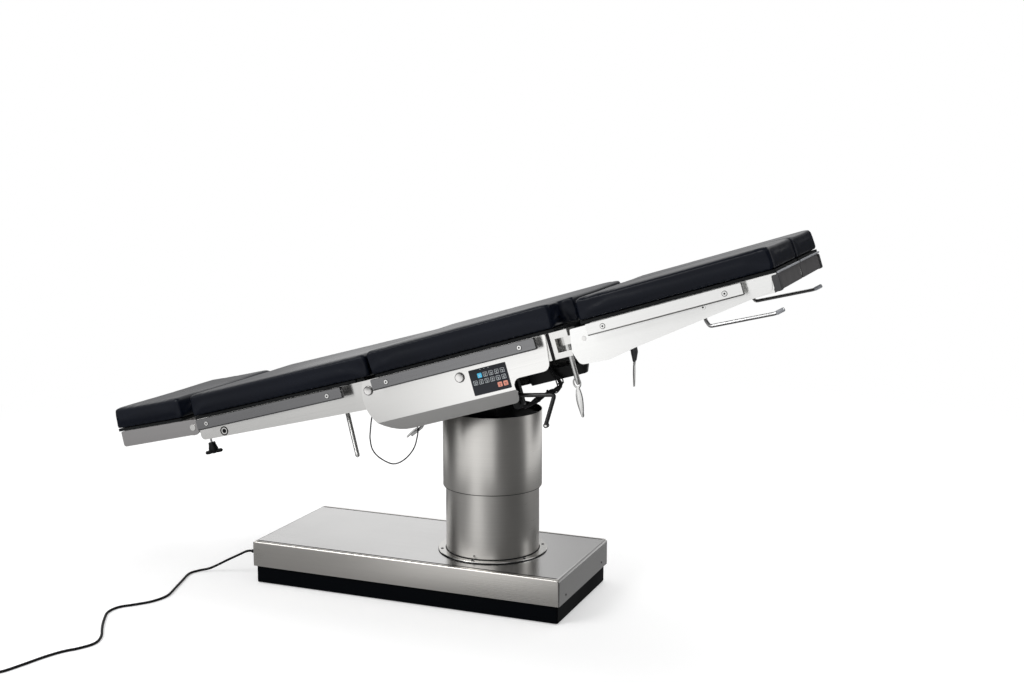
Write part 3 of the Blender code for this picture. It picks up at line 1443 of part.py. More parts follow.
def build_leg_lug(name, side, swing):
    """The tongue in the clevis, with the knee's barrel and pin."""
    y = side * SWING_Y
    half = LUG_HALF_WIDTH
    turn = arc((SWING_S, y), half, pi / 2, 3 * pi / 2, ARC_STEPS * 2)
    outline = turn + [(KNEE_S, y - half), (KNEE_S, y + half)]
    tongue = plan(outline, (LUG_BOTTOM_H, CLEVIS_SLOT_TOP_H - GAP))
    barrel_y = [side * value for value in KNEE_BARREL_Y]
    barrel = cross_rod(KNEE_S, barrel_y, KNEE_H, KNEE_BARREL_RADIUS)
    outer = side * (SEAT_COVER_OUTER_Y + KNEE_PIN_HEAD_HEIGHT)
    pin = cross_rod(KNEE_S, (side * (LEG_EAR_Y[0] - GAP), outer), KNEE_H, KNEE_PIN_RADIUS)
    shape = fused(tongue, barrel, pin)
    bore = rod((SWING_S, y, LUG_BOTTOM_H - SHEET), (SWING_S, y, SHEET), SPINDLE_RADIUS + GAP)
    return place(name, cut(shape, bore), swing, (STEEL, 0.3, 1.0))


def leg_frame_pieces(side):
    """Plate, beams, cross members, ear, wire pin and end panel of one leg frame."""
    top = FRAME_TOP_H - GAP * 2
    outer = side * SEAT_COVER_OUTER_Y
    plate = slab(rounded(LEG_PLATE_POINTS), (outer, side * (SEAT_COVER_OUTER_Y - LEG_SHEET)))
    ends = (LEG_FRAME_S, LEG_FRAME_END_S)
    outer_y = sorted(side * value for value in LEG_BEAM_Y)
    inner_y = sorted(side * value for value in LEG_INNER_BEAM_Y)
    pieces = [
        plate,
        box(ends, outer_y, (LEG_BEAM_BOTTOM_H, top)),
        box(ends, inner_y, (LEG_BEAM_BOTTOM_H, top)),
    ]
    cross_y = sorted((side * LEG_INNER_BEAM_Y[0], side * (LEG_BEAM_Y[0] + OVERLAP)))
    for start in (LEG_FRAME_S, LEG_MIDDLE_S, LEG_FRAME_END_S - CROSS_WIDTH / 2):
        x = (start, start + CROSS_WIDTH / 2)
        pieces.append(box(x, cross_y, (LEG_BEAM_BOTTOM_H, top)))
    pieces.append(knee_ear(side))
    wire_y = (side * (LEG_BEAM_Y[0] + OVERLAP), side * WIRE_PIN_INNER_Y)
    pieces.append(cross_rod(WIRE_PIVOT[0], wire_y, WIRE_PIVOT[1], WIRE_PIN_RADIUS))
    panel_y = sorted((side * LEG_INNER_BEAM_Y[0], side * LEG_BEAM_Y[1]))
    panel_s = (LEG_FRAME_END_S - OVERLAP, LEG_END_PANEL_S)
    pieces.append(box(panel_s, panel_y, (LEG_END_PANEL_BOTTOM_H, top)))
    return pieces


def knee_ear(side):
    """The inner ear that turns on the knee pin."""
    y = sorted(side * value for value in LEG_EAR_Y)
    outline = arc((KNEE_S, KNEE_H), LEG_EAR_RADIUS, pi / 2, 3 * pi / 2, ARC_STEPS * 2)
    outline += [
        (LEG_FRAME_S + OVERLAP, KNEE_H - LEG_EAR_RADIUS + RAIL_END_ROUND),
        (LEG_FRAME_S + OVERLAP, KNEE_H + LEG_EAR_RADIUS),
    ]
    return slab(outline, y)


def build_leg_frame(name, side, knee):
    """The frame under one leg pad."""
    pieces = leg_frame_pieces(side)
    frame = fused(pieces[0], *pieces[1:])
    bore = cross_rod(
        KNEE_S,
        sorted((side * (LEG_EAR_Y[0] - SHEET), side * (SEAT_COVER_OUTER_Y + SHEET))),
        KNEE_H,
        KNEE_PIN_RADIUS + GAP,
    )
    return place(name, cut(frame, bore), knee, (BRIGHT_STEEL, 0.35, 1.0))


def build_wire(name, side, axis):
    """The bent release lever under one leg."""
    y = side * WIRE_Y
    pivot_s, pivot_h = WIRE_PIVOT
    half = WIRE_RADIUS
    eye = cross_rod(pivot_s, (y - half, y + half), pivot_h, WIRE_EYE_RADIUS)
    points = [(pivot_s, y, pivot_h)]
    for s, h in WIRE_ROUTE:
        points.append((s, y, h))
    lever = fused(eye, bent_rod(points, WIRE_RADIUS, WIRE_BEND / 2))
    bore = cross_rod(pivot_s, (y - half * 2, y + half * 2), pivot_h, WIRE_PIN_RADIUS + GAP)
    return place(name, cut(lever, bore), axis, (BRIGHT_STEEL, 0.15, 1.0))


def back_plate_outline():
    """The back plate's outline, round about the hinge bolt."""
    hinge = (BACK_HINGE_S, BACK_HINGE_H)
    outline = rounded(BACK_PLATE_POINTS + ((BACK_HINGE_S, BACK_HINGE_H - BACK_END_RADIUS, 0.0),))
    outline += arc(hinge, BACK_END_RADIUS, BACK_END_TURN, pi / 2, ARC_STEPS * 2)
    return outline


def build_back_frame(back):
    """The frame of the back section, with the ears that carry the head section."""
    top = FRAME_TOP_H - GAP * 2
    pieces = []
    inner_y = BACK_PLATE_OUTER_Y - BACK_PLATE
    for side in (-1.0, 1.0):
        y = (side * inner_y, side * BACK_PLATE_OUTER_Y)
        pieces.append(slab(back_plate_outline(), y))
        pieces += head_ears(side)
    reach = inner_y + OVERLAP
    for start in BACK_CROSS_S:
        x = (start, start + CROSS_WIDTH)
        pieces.append(box(x, (-reach, reach), (BACK_CROSS_BOTTOM_H, top)))
    pieces.append(rod_lug())
    frame = fused(pieces[0], *pieces[1:])
    cutters = [
        cross_rod(BACK_HINGE_S, (-RAIL_OUTER_Y, RAIL_OUTER_Y), BACK_HINGE_H, HINGE_BOLT_RADIUS + GAP),
        cross_rod(
            KEY_SOCKET_S,
            (-BACK_PLATE_OUTER_Y - KEY_SOCKET_DEPTH, KEY_SOCKET_DEPTH - BACK_PLATE_OUTER_Y),
            KEY_SOCKET_H,
            KEY_SOCKET_RADIUS,
        ),
    ]
    return place("back_frame", cut(frame, *cutters), back, (STEEL, 0.32, 1.0))


def head_ears(side):
    """The ear and pin that carry one side of the head section, and the lock's boss."""
    start = BACK_CROSS_S[0]
    y = sorted(side * value for value in HEAD_EAR_Y)
    outline = arc((HEAD_HINGE_S, HEAD_HINGE_H), HEAD_EAR_RADIUS, pi / 2, 3 * pi / 2, ARC_STEPS * 2)
    outline += [
        (start + OVERLAP, HEAD_HINGE_H - HEAD_EAR_RADIUS),
        (start + OVERLAP, HEAD_HINGE_H + HEAD_EAR_RADIUS),
    ]
    ear = slab(outline, y)
    head = HEAD_PLATE_OUTER_Y + GAP
    pin_y = (side * (HEAD_EAR_Y[1] - OVERLAP), side * (head + OVERLAP))
    pin = cross_rod(HEAD_HINGE_S, pin_y, HEAD_HINGE_H, HEAD_PIN_RADIUS)
    cap_y = (side * head, side * (head + RAIL_SCREW_HEIGHT))
    cap = cross_rod(HEAD_HINGE_S, cap_y, HEAD_HINGE_H, HEAD_PIN_HEAD_RADIUS)
    boss_low = LOCK_TOP_H + GAP
    boss = rod(
        (LOCK_S, side * LOCK_Y, boss_low),
        (LOCK_S, side * LOCK_Y, FRAME_TOP_H - OVERLAP * 2),
        LOCK_HUB_RADIUS,
    )
    return [ear, pin, cap, boss]


def rod_lug():
    """The lug and pin that carry the release rod on the near side."""
    pivot_s, pivot_h = ROD_PIVOT
    inner = -ROD_Y + ROD_RADIUS + GAP
    y = (inner, inner + ROD_LUG_THICKNESS)
    outline = arc((pivot_s, pivot_h), ROD_HUB_RADIUS, pi, 2 * pi, ARC_STEPS * 2)
    top = BACK_CROSS_BOTTOM_H + OVERLAP
    outline += [(pivot_s + ROD_HUB_RADIUS, top), (pivot_s - ROD_HUB_RADIUS, top)]
    lug = slab(outline, y)
    pin = cross_rod(pivot_s, (inner + OVERLAP, -ROD_Y - ROD_RADIUS), pivot_h, ROD_PIN_RADIUS)
    return fused(lug, pin)


def build_release_rod(axis):
    """The hanging release lever of the back section."""
    pivot_s, pivot_h = ROD_PIVOT
    y = -ROD_Y
    half = ROD_HUB_HALF
    hub = cross_rod(pivot_s, (y - half, y + half), pivot_h, ROD_HUB_RADIUS)
    tip_s, tip_h = ROD_TIP
    neck = (tip_s, y, tip_h + ROD_RADIUS * 2)
    arm = rod((pivot_s, y, pivot_h), neck, ROD_RADIUS)
    point = rod(neck, (tip_s, y, tip_h), ROD_RADIUS, PIN_STEPS, ROD_TIP_RADIUS)
    lever = fused(hub, arm, point)
    bore = cross_rod(pivot_s, (y - half * 2, y + half * 2), pivot_h, ROD_PIN_RADIUS + GAP)
    return place("back_release_rod", cut(lever, bore), axis, (BRIGHT_STEEL, 0.2, 1.0))


def build_lock_knob(name, side, axis):
    """The locking knob under one side of the head hinge."""
    y = side * LOCK_Y
    stem = rod((LOCK_S, y, LOCK_BAR_H), (LOCK_S, y, LOCK_TOP_H), LOCK_STEM_RADIUS)
    hub_top = LOCK_BAR_H + LOCK_HUB_RADIUS
    hub = rod((LOCK_S, y, LOCK_BAR_H - LOCK_BAR_RADIUS), (LOCK_S, y, hub_top), LOCK_GRIP_RADIUS)
    half = LOCK_BAR_HALF_LENGTH
    middle = (LOCK_S, y, LOCK_BAR_H)
    left = rod(middle, (LOCK_S - half, y, LOCK_BAR_H), LOCK_BAR_RADIUS, PIN_STEPS, LOCK_BAR_END_RADIUS)
    right = rod(middle, (LOCK_S + half, y, LOCK_BAR_H), LOCK_BAR_RADIUS, PIN_STEPS, LOCK_BAR_END_RADIUS)
    return place(name, fused(stem, hub, left, right), axis, (BLACK_PAINT, 0.4, 0.0))


def head_plate_outline():
    """The head plate's outline, round about its hinge screw."""
    outline = rounded(HEAD_PLATE_POINTS + ((HEAD_HINGE_S, HEAD_HINGE_H - HEAD_END_RADIUS, 0.0),))
    outline += arc((HEAD_HINGE_S, HEAD_HINGE_H), HEAD_END_RADIUS, HEAD_END_TURN, pi / 2, ARC_STEPS * 2)
    return outline


def build_head_frame(head):
    """The frame of the head section."""
    top = HEAD_FRAME_TOP_H - GAP
    pieces = []
    inner_y = HEAD_PLATE_OUTER_Y - HEAD_PLATE
    for side in (-1.0, 1.0):
        pieces.append(slab(head_plate_outline(), (side * inner_y, side * HEAD_PLATE_OUTER_Y)))
    reach = inner_y + OVERLAP
    for start in HEAD_CROSS_S:
        x = (start, start + CROSS_WIDTH)
        pieces.append(box(x, (-reach, reach), (HEAD_CROSS_BOTTOM_H, top)))
    frame = fused(pieces[0], *pieces[1:])
    bore = cross_rod(HEAD_HINGE_S, (-RAIL_OUTER_Y, RAIL_OUTER_Y), HEAD_HINGE_H, HEAD_PIN_RADIUS + GAP)
    return place("head_frame", cut(frame, bore), head, (STEEL, 0.32, 1.0))


def inset_route(route):
    """A near side route given as (s, inset from the side beam's outer face, h)."""
    return [(s, inset - BEAM_OUTER_Y, h) for s, inset, h in route]


def build_seat_cables(seat):
    """The cable loop, its hook and the tied wiring under the seat."""
    loop = cable("cable_loop", smooth_route(inset_route(LOOP_ROUTE), 2), LOOP_CABLE_RADIUS)
    place("cable_loop", loop, seat, (CABLE_BLACK, 0.5, 0.0))
    hook = bent_rod(inset_route(HOOK_ROUTE), HOOK_RADIUS, HOOK_RADIUS)
    place("cable_hook", hook, seat, (BRIGHT_STEEL, 0.2, 1.0))
    harness = cable("harness", smooth_route(inset_route(HARNESS_ROUTE), 2), HARNESS_RADIUS)
    place("wiring_harness", solid_of(harness), seat, (CABLE_BLACK, 0.5, 0.0))


def build_base():
    """Every piece that stands still."""
    build_chassis()
    build_top_cover()
    build_side_panel("base_cover_front", -1.0)
    build_side_panel("base_cover_rear", 1.0)
    build_flange_ring()
    build_lower_sleeve()
    build_lift_cylinder()
    build_power_unit()
    build_battery()
    build_gland()
    build_cord()
    build_coil()
    build_plug()


def build_column():
    """The moving stages of the column, and the empty that rises with them."""
    stage = world_axis("middle_stage_axis", (0.0, 0.0, MIDDLE_SLEEVE_BOTTOM_Z))
    lift = world_axis("lift_axis", (0.0, 0.0, UPPER_SLEEVE_BOTTOM_Z))
    build_middle_sleeve(stage)
    build_upper_sleeve(lift)
    build_ram(lift)
    build_column_head(lift)
    return lift


def build_seat(seat):
    """Every piece that tilts and rolls with the seat."""
    build_seat_frame(seat)
    board = (fold_reach(board_height()[0]), SEAT_BOARD_END)
    build_board("seat_board", board, (-BOARD_HALF_WIDTH, BOARD_HALF_WIDTH), seat)
    build_seat_pad(seat)
    build_keypad(seat)
    build_seat_cables(seat)
    crank = axis_at("crank_axis", seat, CRANK_PIVOT[0], -CRANK_Y, CRANK_PIVOT[1])
    build_crank(crank)
    for word, side in SIDES:
        build_seat_cover(word + "_seat_cover", side, seat)
        build_rail(word + "_seat_rail", side, SEAT_RAIL, SEAT_RAIL_SCREWS, SEAT_COVER_OUTER_Y, seat)
        build_clevis(word + "_leg_clevis", side, seat)
        build_under_beam(word + "_underframe_arm", side, seat)
        spindle = axis_at(word + "_clamp_axis", seat, SWING_S, side * SWING_Y, SPINDLE_EYE_H)
        build_clamp_lever(word + "_clamp_lever", side, spindle)


def build_back(seat):
    """Every piece that folds with the back section."""
    back = axis_at("back_axis", seat, BACK_HINGE_S, 0.0, BACK_HINGE_H, -BACK_RISE)
    build_back_frame(back)
    build_back_board(back)
    build_pad("back_pad", BACK_PAD, (-PAD_HALF_WIDTH, PAD_HALF_WIDTH), BACK_PAD_TOP_H, back)
    rod_axis = axis_at("rod_axis", back, ROD_PIVOT[0], -ROD_Y, ROD_PIVOT[1])
    build_release_rod(rod_axis)
    for word, side in SIDES:
        build_rail(word + "_back_rail", side, BACK_RAIL, BACK_RAIL_SCREWS, BACK_PLATE_OUTER_Y, back)
        knob = axis_at(word + "_lock_axis", back, LOCK_S, side * LOCK_Y, LOCK_BAR_H)
        build_lock_knob(word + "_head_lock_knob", side, knob)
    return back


def build_head(back):
    """Every piece that folds with the head section."""
    head = axis_at("head_axis", back, HEAD_HINGE_S, 0.0, HEAD_HINGE_H, -HEAD_RISE)
    build_head_frame(head)
    raised = HEAD_FRAME_TOP_H - FRAME_TOP_H
    y = (-HEAD_BOARD_HALF_WIDTH, HEAD_BOARD_HALF_WIDTH)
    build_board("head_board", HEAD_BOARD, y, head, raised)
    y = (-HEAD_PAD_HALF_WIDTH, HEAD_PAD_HALF_WIDTH)
    build_pad("head_pad", HEAD_PAD, y, HEAD_PAD_TOP_H, head, raised)


def build_leg(word, side, seat):
    """One leg section with its joints."""
    swing = axis_at(word + "_swing_axis", seat, SWING_S, side * SWING_Y, CLEVIS_SLOT_TOP_H)
    build_leg_lug(word + "_leg_lug", side, swing)
    knee = axis_at(word + "_knee_axis", swing, KNEE_S, side * SWING_Y, KNEE_H, LEG_RISE)
    build_leg_frame(word + "_leg_frame", side, knee)
    build_rail(word + "_leg_rail", side, LEG_RAIL, LEG_RAIL_SCREWS, SEAT_COVER_OUTER_Y, knee)
    y = sorted((side * LEG_BOARD_SPLIT_HALF, side * BOARD_HALF_WIDTH))
    build_board(word + "_leg_board", LEG_BOARD, y, knee)
    y = sorted((side * LEG_SPLIT_HALF, side * PAD_HALF_WIDTH))
    build_pad(word + "_leg_pad", LEG_PAD, y, LEG_PAD_TOP_H, knee)
    wire = axis_at(word + "_wire_axis", knee, WIRE_PIVOT[0], side * WIRE_Y, WIRE_PIVOT[1])
    build_wire(word + "_release_wire", side, wire)


def main():
    """Builds the whole table."""
    clear_scene()
    build_base()
    lift = build_column()
    tilt = bpy.data.objects.new("tilt_axis", None)
    bpy.context.scene.collection.objects.link(tilt)
    tilt.parent = lift[0]
    tilt.location = Vector((0.0, 0.0, TILT_Z)) + lift[1]
    tilt.rotation_euler = (0.0, -SEAT_PITCH, 0.0)
    build_tilt_block((tilt, Vector()))
    seat = (tilt, seat_offset())
    build_seat(seat)
    back = build_back(seat)
    build_head(back)
    for word, side in SIDES:
        build_leg(word, side, seat)


main()
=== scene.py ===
"""The looks of the operating table: camera, light, materials, soft pads and small fittings."""

from math import cos, pi, radians, sin

import bmesh
import bpy
from mathutils import Matrix, Vector


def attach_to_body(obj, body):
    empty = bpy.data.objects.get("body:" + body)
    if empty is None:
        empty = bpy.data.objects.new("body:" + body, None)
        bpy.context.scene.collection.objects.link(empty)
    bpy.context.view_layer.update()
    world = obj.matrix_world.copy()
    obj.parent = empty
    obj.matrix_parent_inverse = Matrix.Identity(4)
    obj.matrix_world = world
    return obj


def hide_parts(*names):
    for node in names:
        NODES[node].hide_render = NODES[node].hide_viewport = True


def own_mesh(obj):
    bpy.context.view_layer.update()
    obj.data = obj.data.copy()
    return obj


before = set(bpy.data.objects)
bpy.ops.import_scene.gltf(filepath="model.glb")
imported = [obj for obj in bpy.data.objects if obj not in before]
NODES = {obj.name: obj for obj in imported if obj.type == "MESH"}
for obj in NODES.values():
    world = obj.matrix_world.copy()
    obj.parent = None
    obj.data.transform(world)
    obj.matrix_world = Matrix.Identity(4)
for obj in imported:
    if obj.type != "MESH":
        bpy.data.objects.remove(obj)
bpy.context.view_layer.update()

# Camera at the photograph's place, in metres and degrees
CAMERA_PLACE = (1.479, -3.4996, 1.3161)
CAMERA_AZIMUTH = 22.098
CAMERA_ELEVATION = 9.082
CAMERA_LENS = 49.41
CAMERA_SENSOR = 36.0

# Sections of the top: the pitch of the seat, and each hinge with the rise across it
RAIL_LINE_Z = 0.6889
SEAT_PITCH = 16.88
BACK_HINGE = (-0.2563, -0.0123, -1.35)
HEAD_HINGE = (-0.849, -0.006, -2.72)
KNEE_HINGE = (0.3682, -0.0189, 0.47)
SIDES = (("near", -1.0), ("far", 1.0))

# Mains cord, as it leaves the gland on the head end of the base
CORD_DIAMETER = 0.007
CORD_RADIUS = CORD_DIAMETER / 2
GLAND_TIP = (-0.6929, -0.15, 0.076)
COIL_CENTRE = (-0.93, -1.062)
COIL_RADIUS = 0.04
COIL_PITCH = 0.0072
COIL_COLUMNS = 3
COIL_LAYERS = 4
TURN_POINTS = 24
# The cord's way down from the gland, and then over the floor
CORD_DROP = (
    (-0.7, -0.15, 0.0755), (-0.709, -0.1501, 0.0734), (-0.7209, -0.1506, 0.0682),
    (-0.735, -0.1514, 0.0606), (-0.77, -0.1535, 0.0425), (-0.803, -0.1565, 0.0245),
    (-0.832, -0.1615, 0.01), (-0.8575, -0.174, 0.0045),
)
CORD_FLOOR = (
    (-0.87, -0.197), (-0.868, -0.223), (-0.856, -0.26), (-0.835, -0.325), (-0.815, -0.393),
    (-0.825, -0.445), (-0.853, -0.485), (-0.882, -0.52), (-0.884, -0.562), (-0.86, -0.608),
    (-0.826, -0.66), (-0.786, -0.715), (-0.77, -0.76), (-0.785, -0.802), (-0.808, -0.835),
    (-0.826, -0.88), (-0.84, -0.935), (-0.85, -0.972), (-0.856, -0.989), (-0.866, -1.003),
    (-0.88, -1.012), (-0.896, -1.0148), (-0.912, -1.015),
)


class Section:
    """A part of the top with its own coordinates: s along it, y across it, h square to it."""

    def __init__(self, origin, pitch):
        self.origin = Vector(origin)
        self.pitch = pitch
        angle = radians(pitch)
        self.along = Vector((cos(angle), 0.0, sin(angle)))
        self.up = Vector((-sin(angle), 0.0, cos(angle)))

    def at(self, s, y, h):
        """The point in the frame of the whole table."""
        return self.origin + self.along * s + Vector((0.0, y, 0.0)) + self.up * h

    def turn(self):
        """The matrix that turns shapes drawn level into this section."""
        columns = (self.along, Vector((0.0, 1.0, 0.0)), self.up)
        matrix = Matrix([[column[row] for column in columns] for row in range(3)])
        return Matrix.Translation(self.origin) @ matrix.to_4x4()

    def hinged(self, s, h, rise):
        """The section beyond a hinge at (s, h)."""
        other = Section((0.0, 0.0, 0.0), self.pitch + rise)
        other.origin = self.at(s, 0.0, h) - other.at(s, 0.0, h)
        return other


SEAT = Section((0.0, 0.0, RAIL_LINE_Z), SEAT_PITCH)
BACK = SEAT.hinged(*BACK_HINGE)
HEAD = BACK.hinged(*HEAD_HINGE)
LEG = SEAT.hinged(*KNEE_HINGE)


def placed(name, data):
    """A new object in the scene."""
    made = bpy.data.objects.new(name, data)
    bpy.context.scene.collection.objects.link(made)
    return made


def make_camera():
    """The camera, at the photograph's viewing angle."""
    data = bpy.data.cameras.new("camera")
    data.lens = CAMERA_LENS
    data.sensor_width = CAMERA_SENSOR
    data.clip_end = 50.0
    camera = placed("camera", data)
    camera.location = CAMERA_PLACE
    tilt = radians(90.0 - CAMERA_ELEVATION)
    camera.rotation_euler = (tilt, 0.0, radians(CAMERA_AZIMUTH))
    bpy.context.scene.camera = camera


def smooth_route(points, steps):
    """Points along one smooth curve through the given points."""
    route = [Vector(point) for point in points]
    padded = [route[0] * 2 - route[1]] + route + [route[-1] * 2 - route[-2]]
    smooth = []
    for index in range(len(route) - 1):
        a, b, c, d = padded[index : index + 4]
        for step in range(steps):
            t = step / steps
            even = b * 2 + (c - a) * t
            cubic = (a * 2 - b * 5 + c * 4 - d) * t**2 + (b * 3 - a - c * 3 + d) * t**3
            smooth.append((even + cubic) / 2)
    smooth.append(route[-1])
    return smooth


def coil_points():
    """The cord's turns, three beside each other and four layers high."""
    points = []
    turns = COIL_COLUMNS * COIL_LAYERS
    middle = (COIL_COLUMNS - 1) / 2
    for step in range(turns * TURN_POINTS):
        turn = step / TURN_POINTS
        layer = int(turn // COIL_COLUMNS)
        column = min(turn - layer * COIL_COLUMNS, COIL_COLUMNS - 1)
        if layer % 2 == 0:
            column = COIL_COLUMNS - 1 - column
        radius = COIL_RADIUS + (column - middle) * COIL_PITCH
        rise = min(1.0, max(0.0, turn - layer * COIL_COLUMNS - (COIL_COLUMNS - 1)))
        height = CORD_RADIUS + (min(layer + rise, COIL_LAYERS - 1)) * CORD_DIAMETER
        angle = radians(90.0) + turn * 2 * pi
        x = COIL_CENTRE[0] + radius * cos(angle)
        y = COIL_CENTRE[1] + radius * sin(angle)
        points.append(Vector((x, y, height)))
    return points


def curve_piece(name, points, radius, sides=3):
    """A round cord along the points."""
    data = bpy.data.curves.new(name, "CURVE")
    data.dimensions = "3D"
    data.bevel_depth = radius
    data.bevel_resolution = sides
    data.use_fill_caps = True
    spline = data.splines.new("POLY")
    spline.points.add(len(points) - 1)
    for point, place in zip(spline.points, points):
        point.co = (*place, 1.0)
    spline.use_smooth = True
    return placed(name, data)


def make_cord():
    """The mains cord on the floor, with the rest of it wound into a coil."""
    coil = coil_points()
    floor = [(*place, CORD_RADIUS) for place in CORD_FLOOR]
    route = smooth_route([GLAND_TIP, *CORD_DROP, *floor, coil[0]], 4)
    points = route + coil[1:]
    cord = curve_piece("mains_cord_whole", points, CORD_RADIUS)
    cord.data.materials.append(RUBBER)
    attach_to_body(cord, "base")
    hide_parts("mains_cord", "cord_coil")


def add_node(tree, kind, inputs=(), **settings):
    """A new shader node; inputs gives each input a value or a socket to link."""
    node = tree.nodes.new("ShaderNode" + kind)
    for name, value in settings.items():
        setattr(node, name, value)
    for key, value in dict(inputs).items():
        if isinstance(value, bpy.types.NodeSocket):
            tree.links.new(value, node.inputs[key])
        else:
            node.inputs[key].default_value = value
    return node


def new_material(name):
    """An empty node material with its tree."""
    material = bpy.data.materials.new(name)
    material.use_nodes = True
    return material, material.node_tree


class Finish:
    """A material made of nodes around one Principled shader."""

    def __init__(self, name, colour, roughness, metallic=0.0, specular=0.5, pitch=0.0):
        self.material, self.tree = new_material(name)
        self.shader = self.tree.nodes["Principled BSDF"]
        self.colour = colour
        self.roughness = roughness
        self.shader.inputs["Metallic"].default_value = metallic
        self.shader.inputs["Specular IOR Level"].default_value = specular
        inputs = {
            "Vector": self.add("TexCoord").outputs["Object"],
            "Rotation": (0.0, radians(pitch), 0.0),
        }
        self.place = self.add("Mapping", inputs).outputs["Vector"]
        self.normal = None

    def add(self, kind, inputs=(), **settings):
        """A new node of this material."""
        return add_node(self.tree, kind, inputs, **settings)

    def feed(self, socket, name):
        """Links a socket to one of the shader's inputs."""
        self.tree.links.new(socket, self.shader.inputs[name])

    def noise(self, scale, detail=4.0, roughness=0.5):
        """Noise whose scale is given along each axis."""
        stretch = self.add("Mapping", {"Vector": self.place, "Scale": scale})
        inputs = {
            "Vector": stretch.outputs["Vector"],
            "Scale": 1.0,
            "Detail": detail,
            "Roughness": roughness,
        }
        return self.add("TexNoise", inputs).outputs["Fac"]

    def cells(self, scale):
        """The distance to the nearest cell centre, for a leather grain."""
        return self.add("TexVoronoi", {"Vector": self.place, "Scale": scale}).outputs["Distance"]

    def ranged(self, value, low, high):
        """The value stretched from its middle span to low and high."""
        inputs = {"Value": value, "From Min": 0.3, "From Max": 0.7, "To Min": low, "To Max": high}
        return self.add("MapRange", inputs).outputs["Result"]

    def counted(self, operation, first, second):
        """The result of a sum or product."""
        return self.add("Math", {0: first, 1: second}, operation=operation).outputs["Value"]

    def vary(self, shade, spread, span):
        """Colour and roughness that change a little with the shade value."""
        darker = tuple(channel * (1.0 - spread) for channel in self.colour)
        lighter = tuple(min(1.0, channel * (1.0 + spread)) for channel in self.colour)
        inputs = {"Factor": self.ranged(shade, 0.0, 1.0), 6: (*darker, 1.0), 7: (*lighter, 1.0)}
        self.feed(self.add("Mix", inputs, data_type="RGBA").outputs[2], "Base Color")
        self.feed(self.ranged(shade, self.roughness + span, self.roughness - span), "Roughness")

    def spread_along(self, way):
        """Reflections that blur mostly along way, square to the brush marks."""
        self.shader.inputs["Anisotropic"].default_value = 0.8
        settings = {"vector_type": "VECTOR", "convert_from": "OBJECT", "convert_to": "WORLD"}
        node = self.add("VectorTransform", {"Vector": way}, **settings)
        self.feed(node.outputs["Vector"], "Tangent")

    def bump(self, height, strength, distance):
        """Fine relief."""
        node = self.add("Bump", {"Strength": strength, "Distance": distance, "Height": height})
        if self.normal is not None:
            self.tree.links.new(self.normal, node.inputs["Normal"])
        self.normal = node.outputs["Normal"]
        self.feed(self.normal, "Normal")


def brushed(name, colour, roughness, grain, pitch=0.0, spread=0.05, section=None):
    """Brushed stainless steel; grain is the noise scale along each axis."""
    finish = Finish(name, colour, roughness, 1.0, 0.5, pitch)
    if section is not None:
        finish.spread_along(section.up)
    streaks = finish.noise(grain, 5.0, 0.65)
    clouds = finish.noise((3.0, 3.0, 3.0), 3.0)
    shade = finish.counted("MULTIPLY", finish.counted("ADD", streaks, clouds), 0.5)
    finish.vary(shade, spread, 0.05)
    finish.bump(streaks, 0.03, 0.0004)
    return finish.material


def satin(name, colour, roughness, specular=0.4, size=500.0):
    """Painted or moulded surface with a fine even texture."""
    finish = Finish(name, colour, roughness, 0.0, specular)
    clouds = finish.noise((9.0, 9.0, 9.0), 4.0)
    finish.vary(clouds, 0.12, 0.06)
    finish.bump(finish.noise((size, size, size), 2.0), 0.12, 0.0002)
    return finish.material


def polished(name, colour, roughness):
    """Polished chrome with faint wipe marks."""
    finish = Finish(name, colour, roughness, 1.0)
    finish.vary(finish.noise((40.0, 40.0, 40.0), 4.0), 0.04, 0.04)
    finish.bump(finish.noise((700.0, 60.0, 60.0), 3.0), 0.03, 0.0002)
    return finish.material


def pad_leather(name, colour, roughness):
    """Dark conductive polyurethane skin: fine grain, soft waves and a low sheen."""
    finish = Finish(name, colour, roughness, 0.0, 0.13)
    clouds = finish.noise((4.0, 4.0, 4.0), 5.0)
    finish.vary(clouds, 0.18, 0.05)
    finish.bump(finish.noise((7.0, 7.0, 7.0), 2.0), 0.25, 0.004)
    finish.bump(finish.cells(900.0), 0.1, 0.0002)
    return finish.material


ALONG = (2.0, 420.0, 420.0)
AROUND = (5.0, 5.0, 420.0)
UPRIGHT = (300.0, 300.0, 4.0)
LIGHT_STEEL = (0.8, 0.795, 0.78)
WARM_STEEL = (0.64, 0.62, 0.59)
COLUMN_STEEL = (0.6, 0.585, 0.56)
COLUMN_ROUGHNESS = 0.3

RUBBER = satin("rubber_black", (0.007, 0.007, 0.008), 0.55, 0.15)
SKIRT = satin("paint_skirt", (0.0012, 0.0018, 0.0028), 0.45, 0.04)
BLACK = satin("paint_black", (0.004, 0.0045, 0.005), 0.38, 0.15)
BOARD = satin("board_black", (0.006, 0.007, 0.008), 0.45, 0.15)
UNIT_GREY = satin("unit_grey", (0.1, 0.105, 0.11), 0.5, 0.4)
PANEL = satin("panel_dark", (0.018, 0.02, 0.026), 0.3, 0.2, 900.0)
LEATHER = pad_leather("pad_leather", (0.0034, 0.0048, 0.0095), 0.31)
ROD_STEEL_BRIGHT = polished("steel_handle", (0.62, 0.62, 0.61), 0.26)
PAINTED_METAL = satin("paint_black_gloss", (0.012, 0.012, 0.013), 0.28, 0.5)
CHROME = polished("chrome", (0.6, 0.59, 0.58), 0.14)
BASE_TOP = brushed("steel_base_top", (0.6, 0.595, 0.59), 0.22, ALONG)
BASE_FRONT = brushed("steel_base_front", WARM_STEEL, 0.3, ALONG)
COLUMN = brushed("steel_column", COLUMN_STEEL, COLUMN_ROUGHNESS, AROUND)
RING = brushed("steel_ring", (0.64, 0.63, 0.61), 0.22, AROUND)
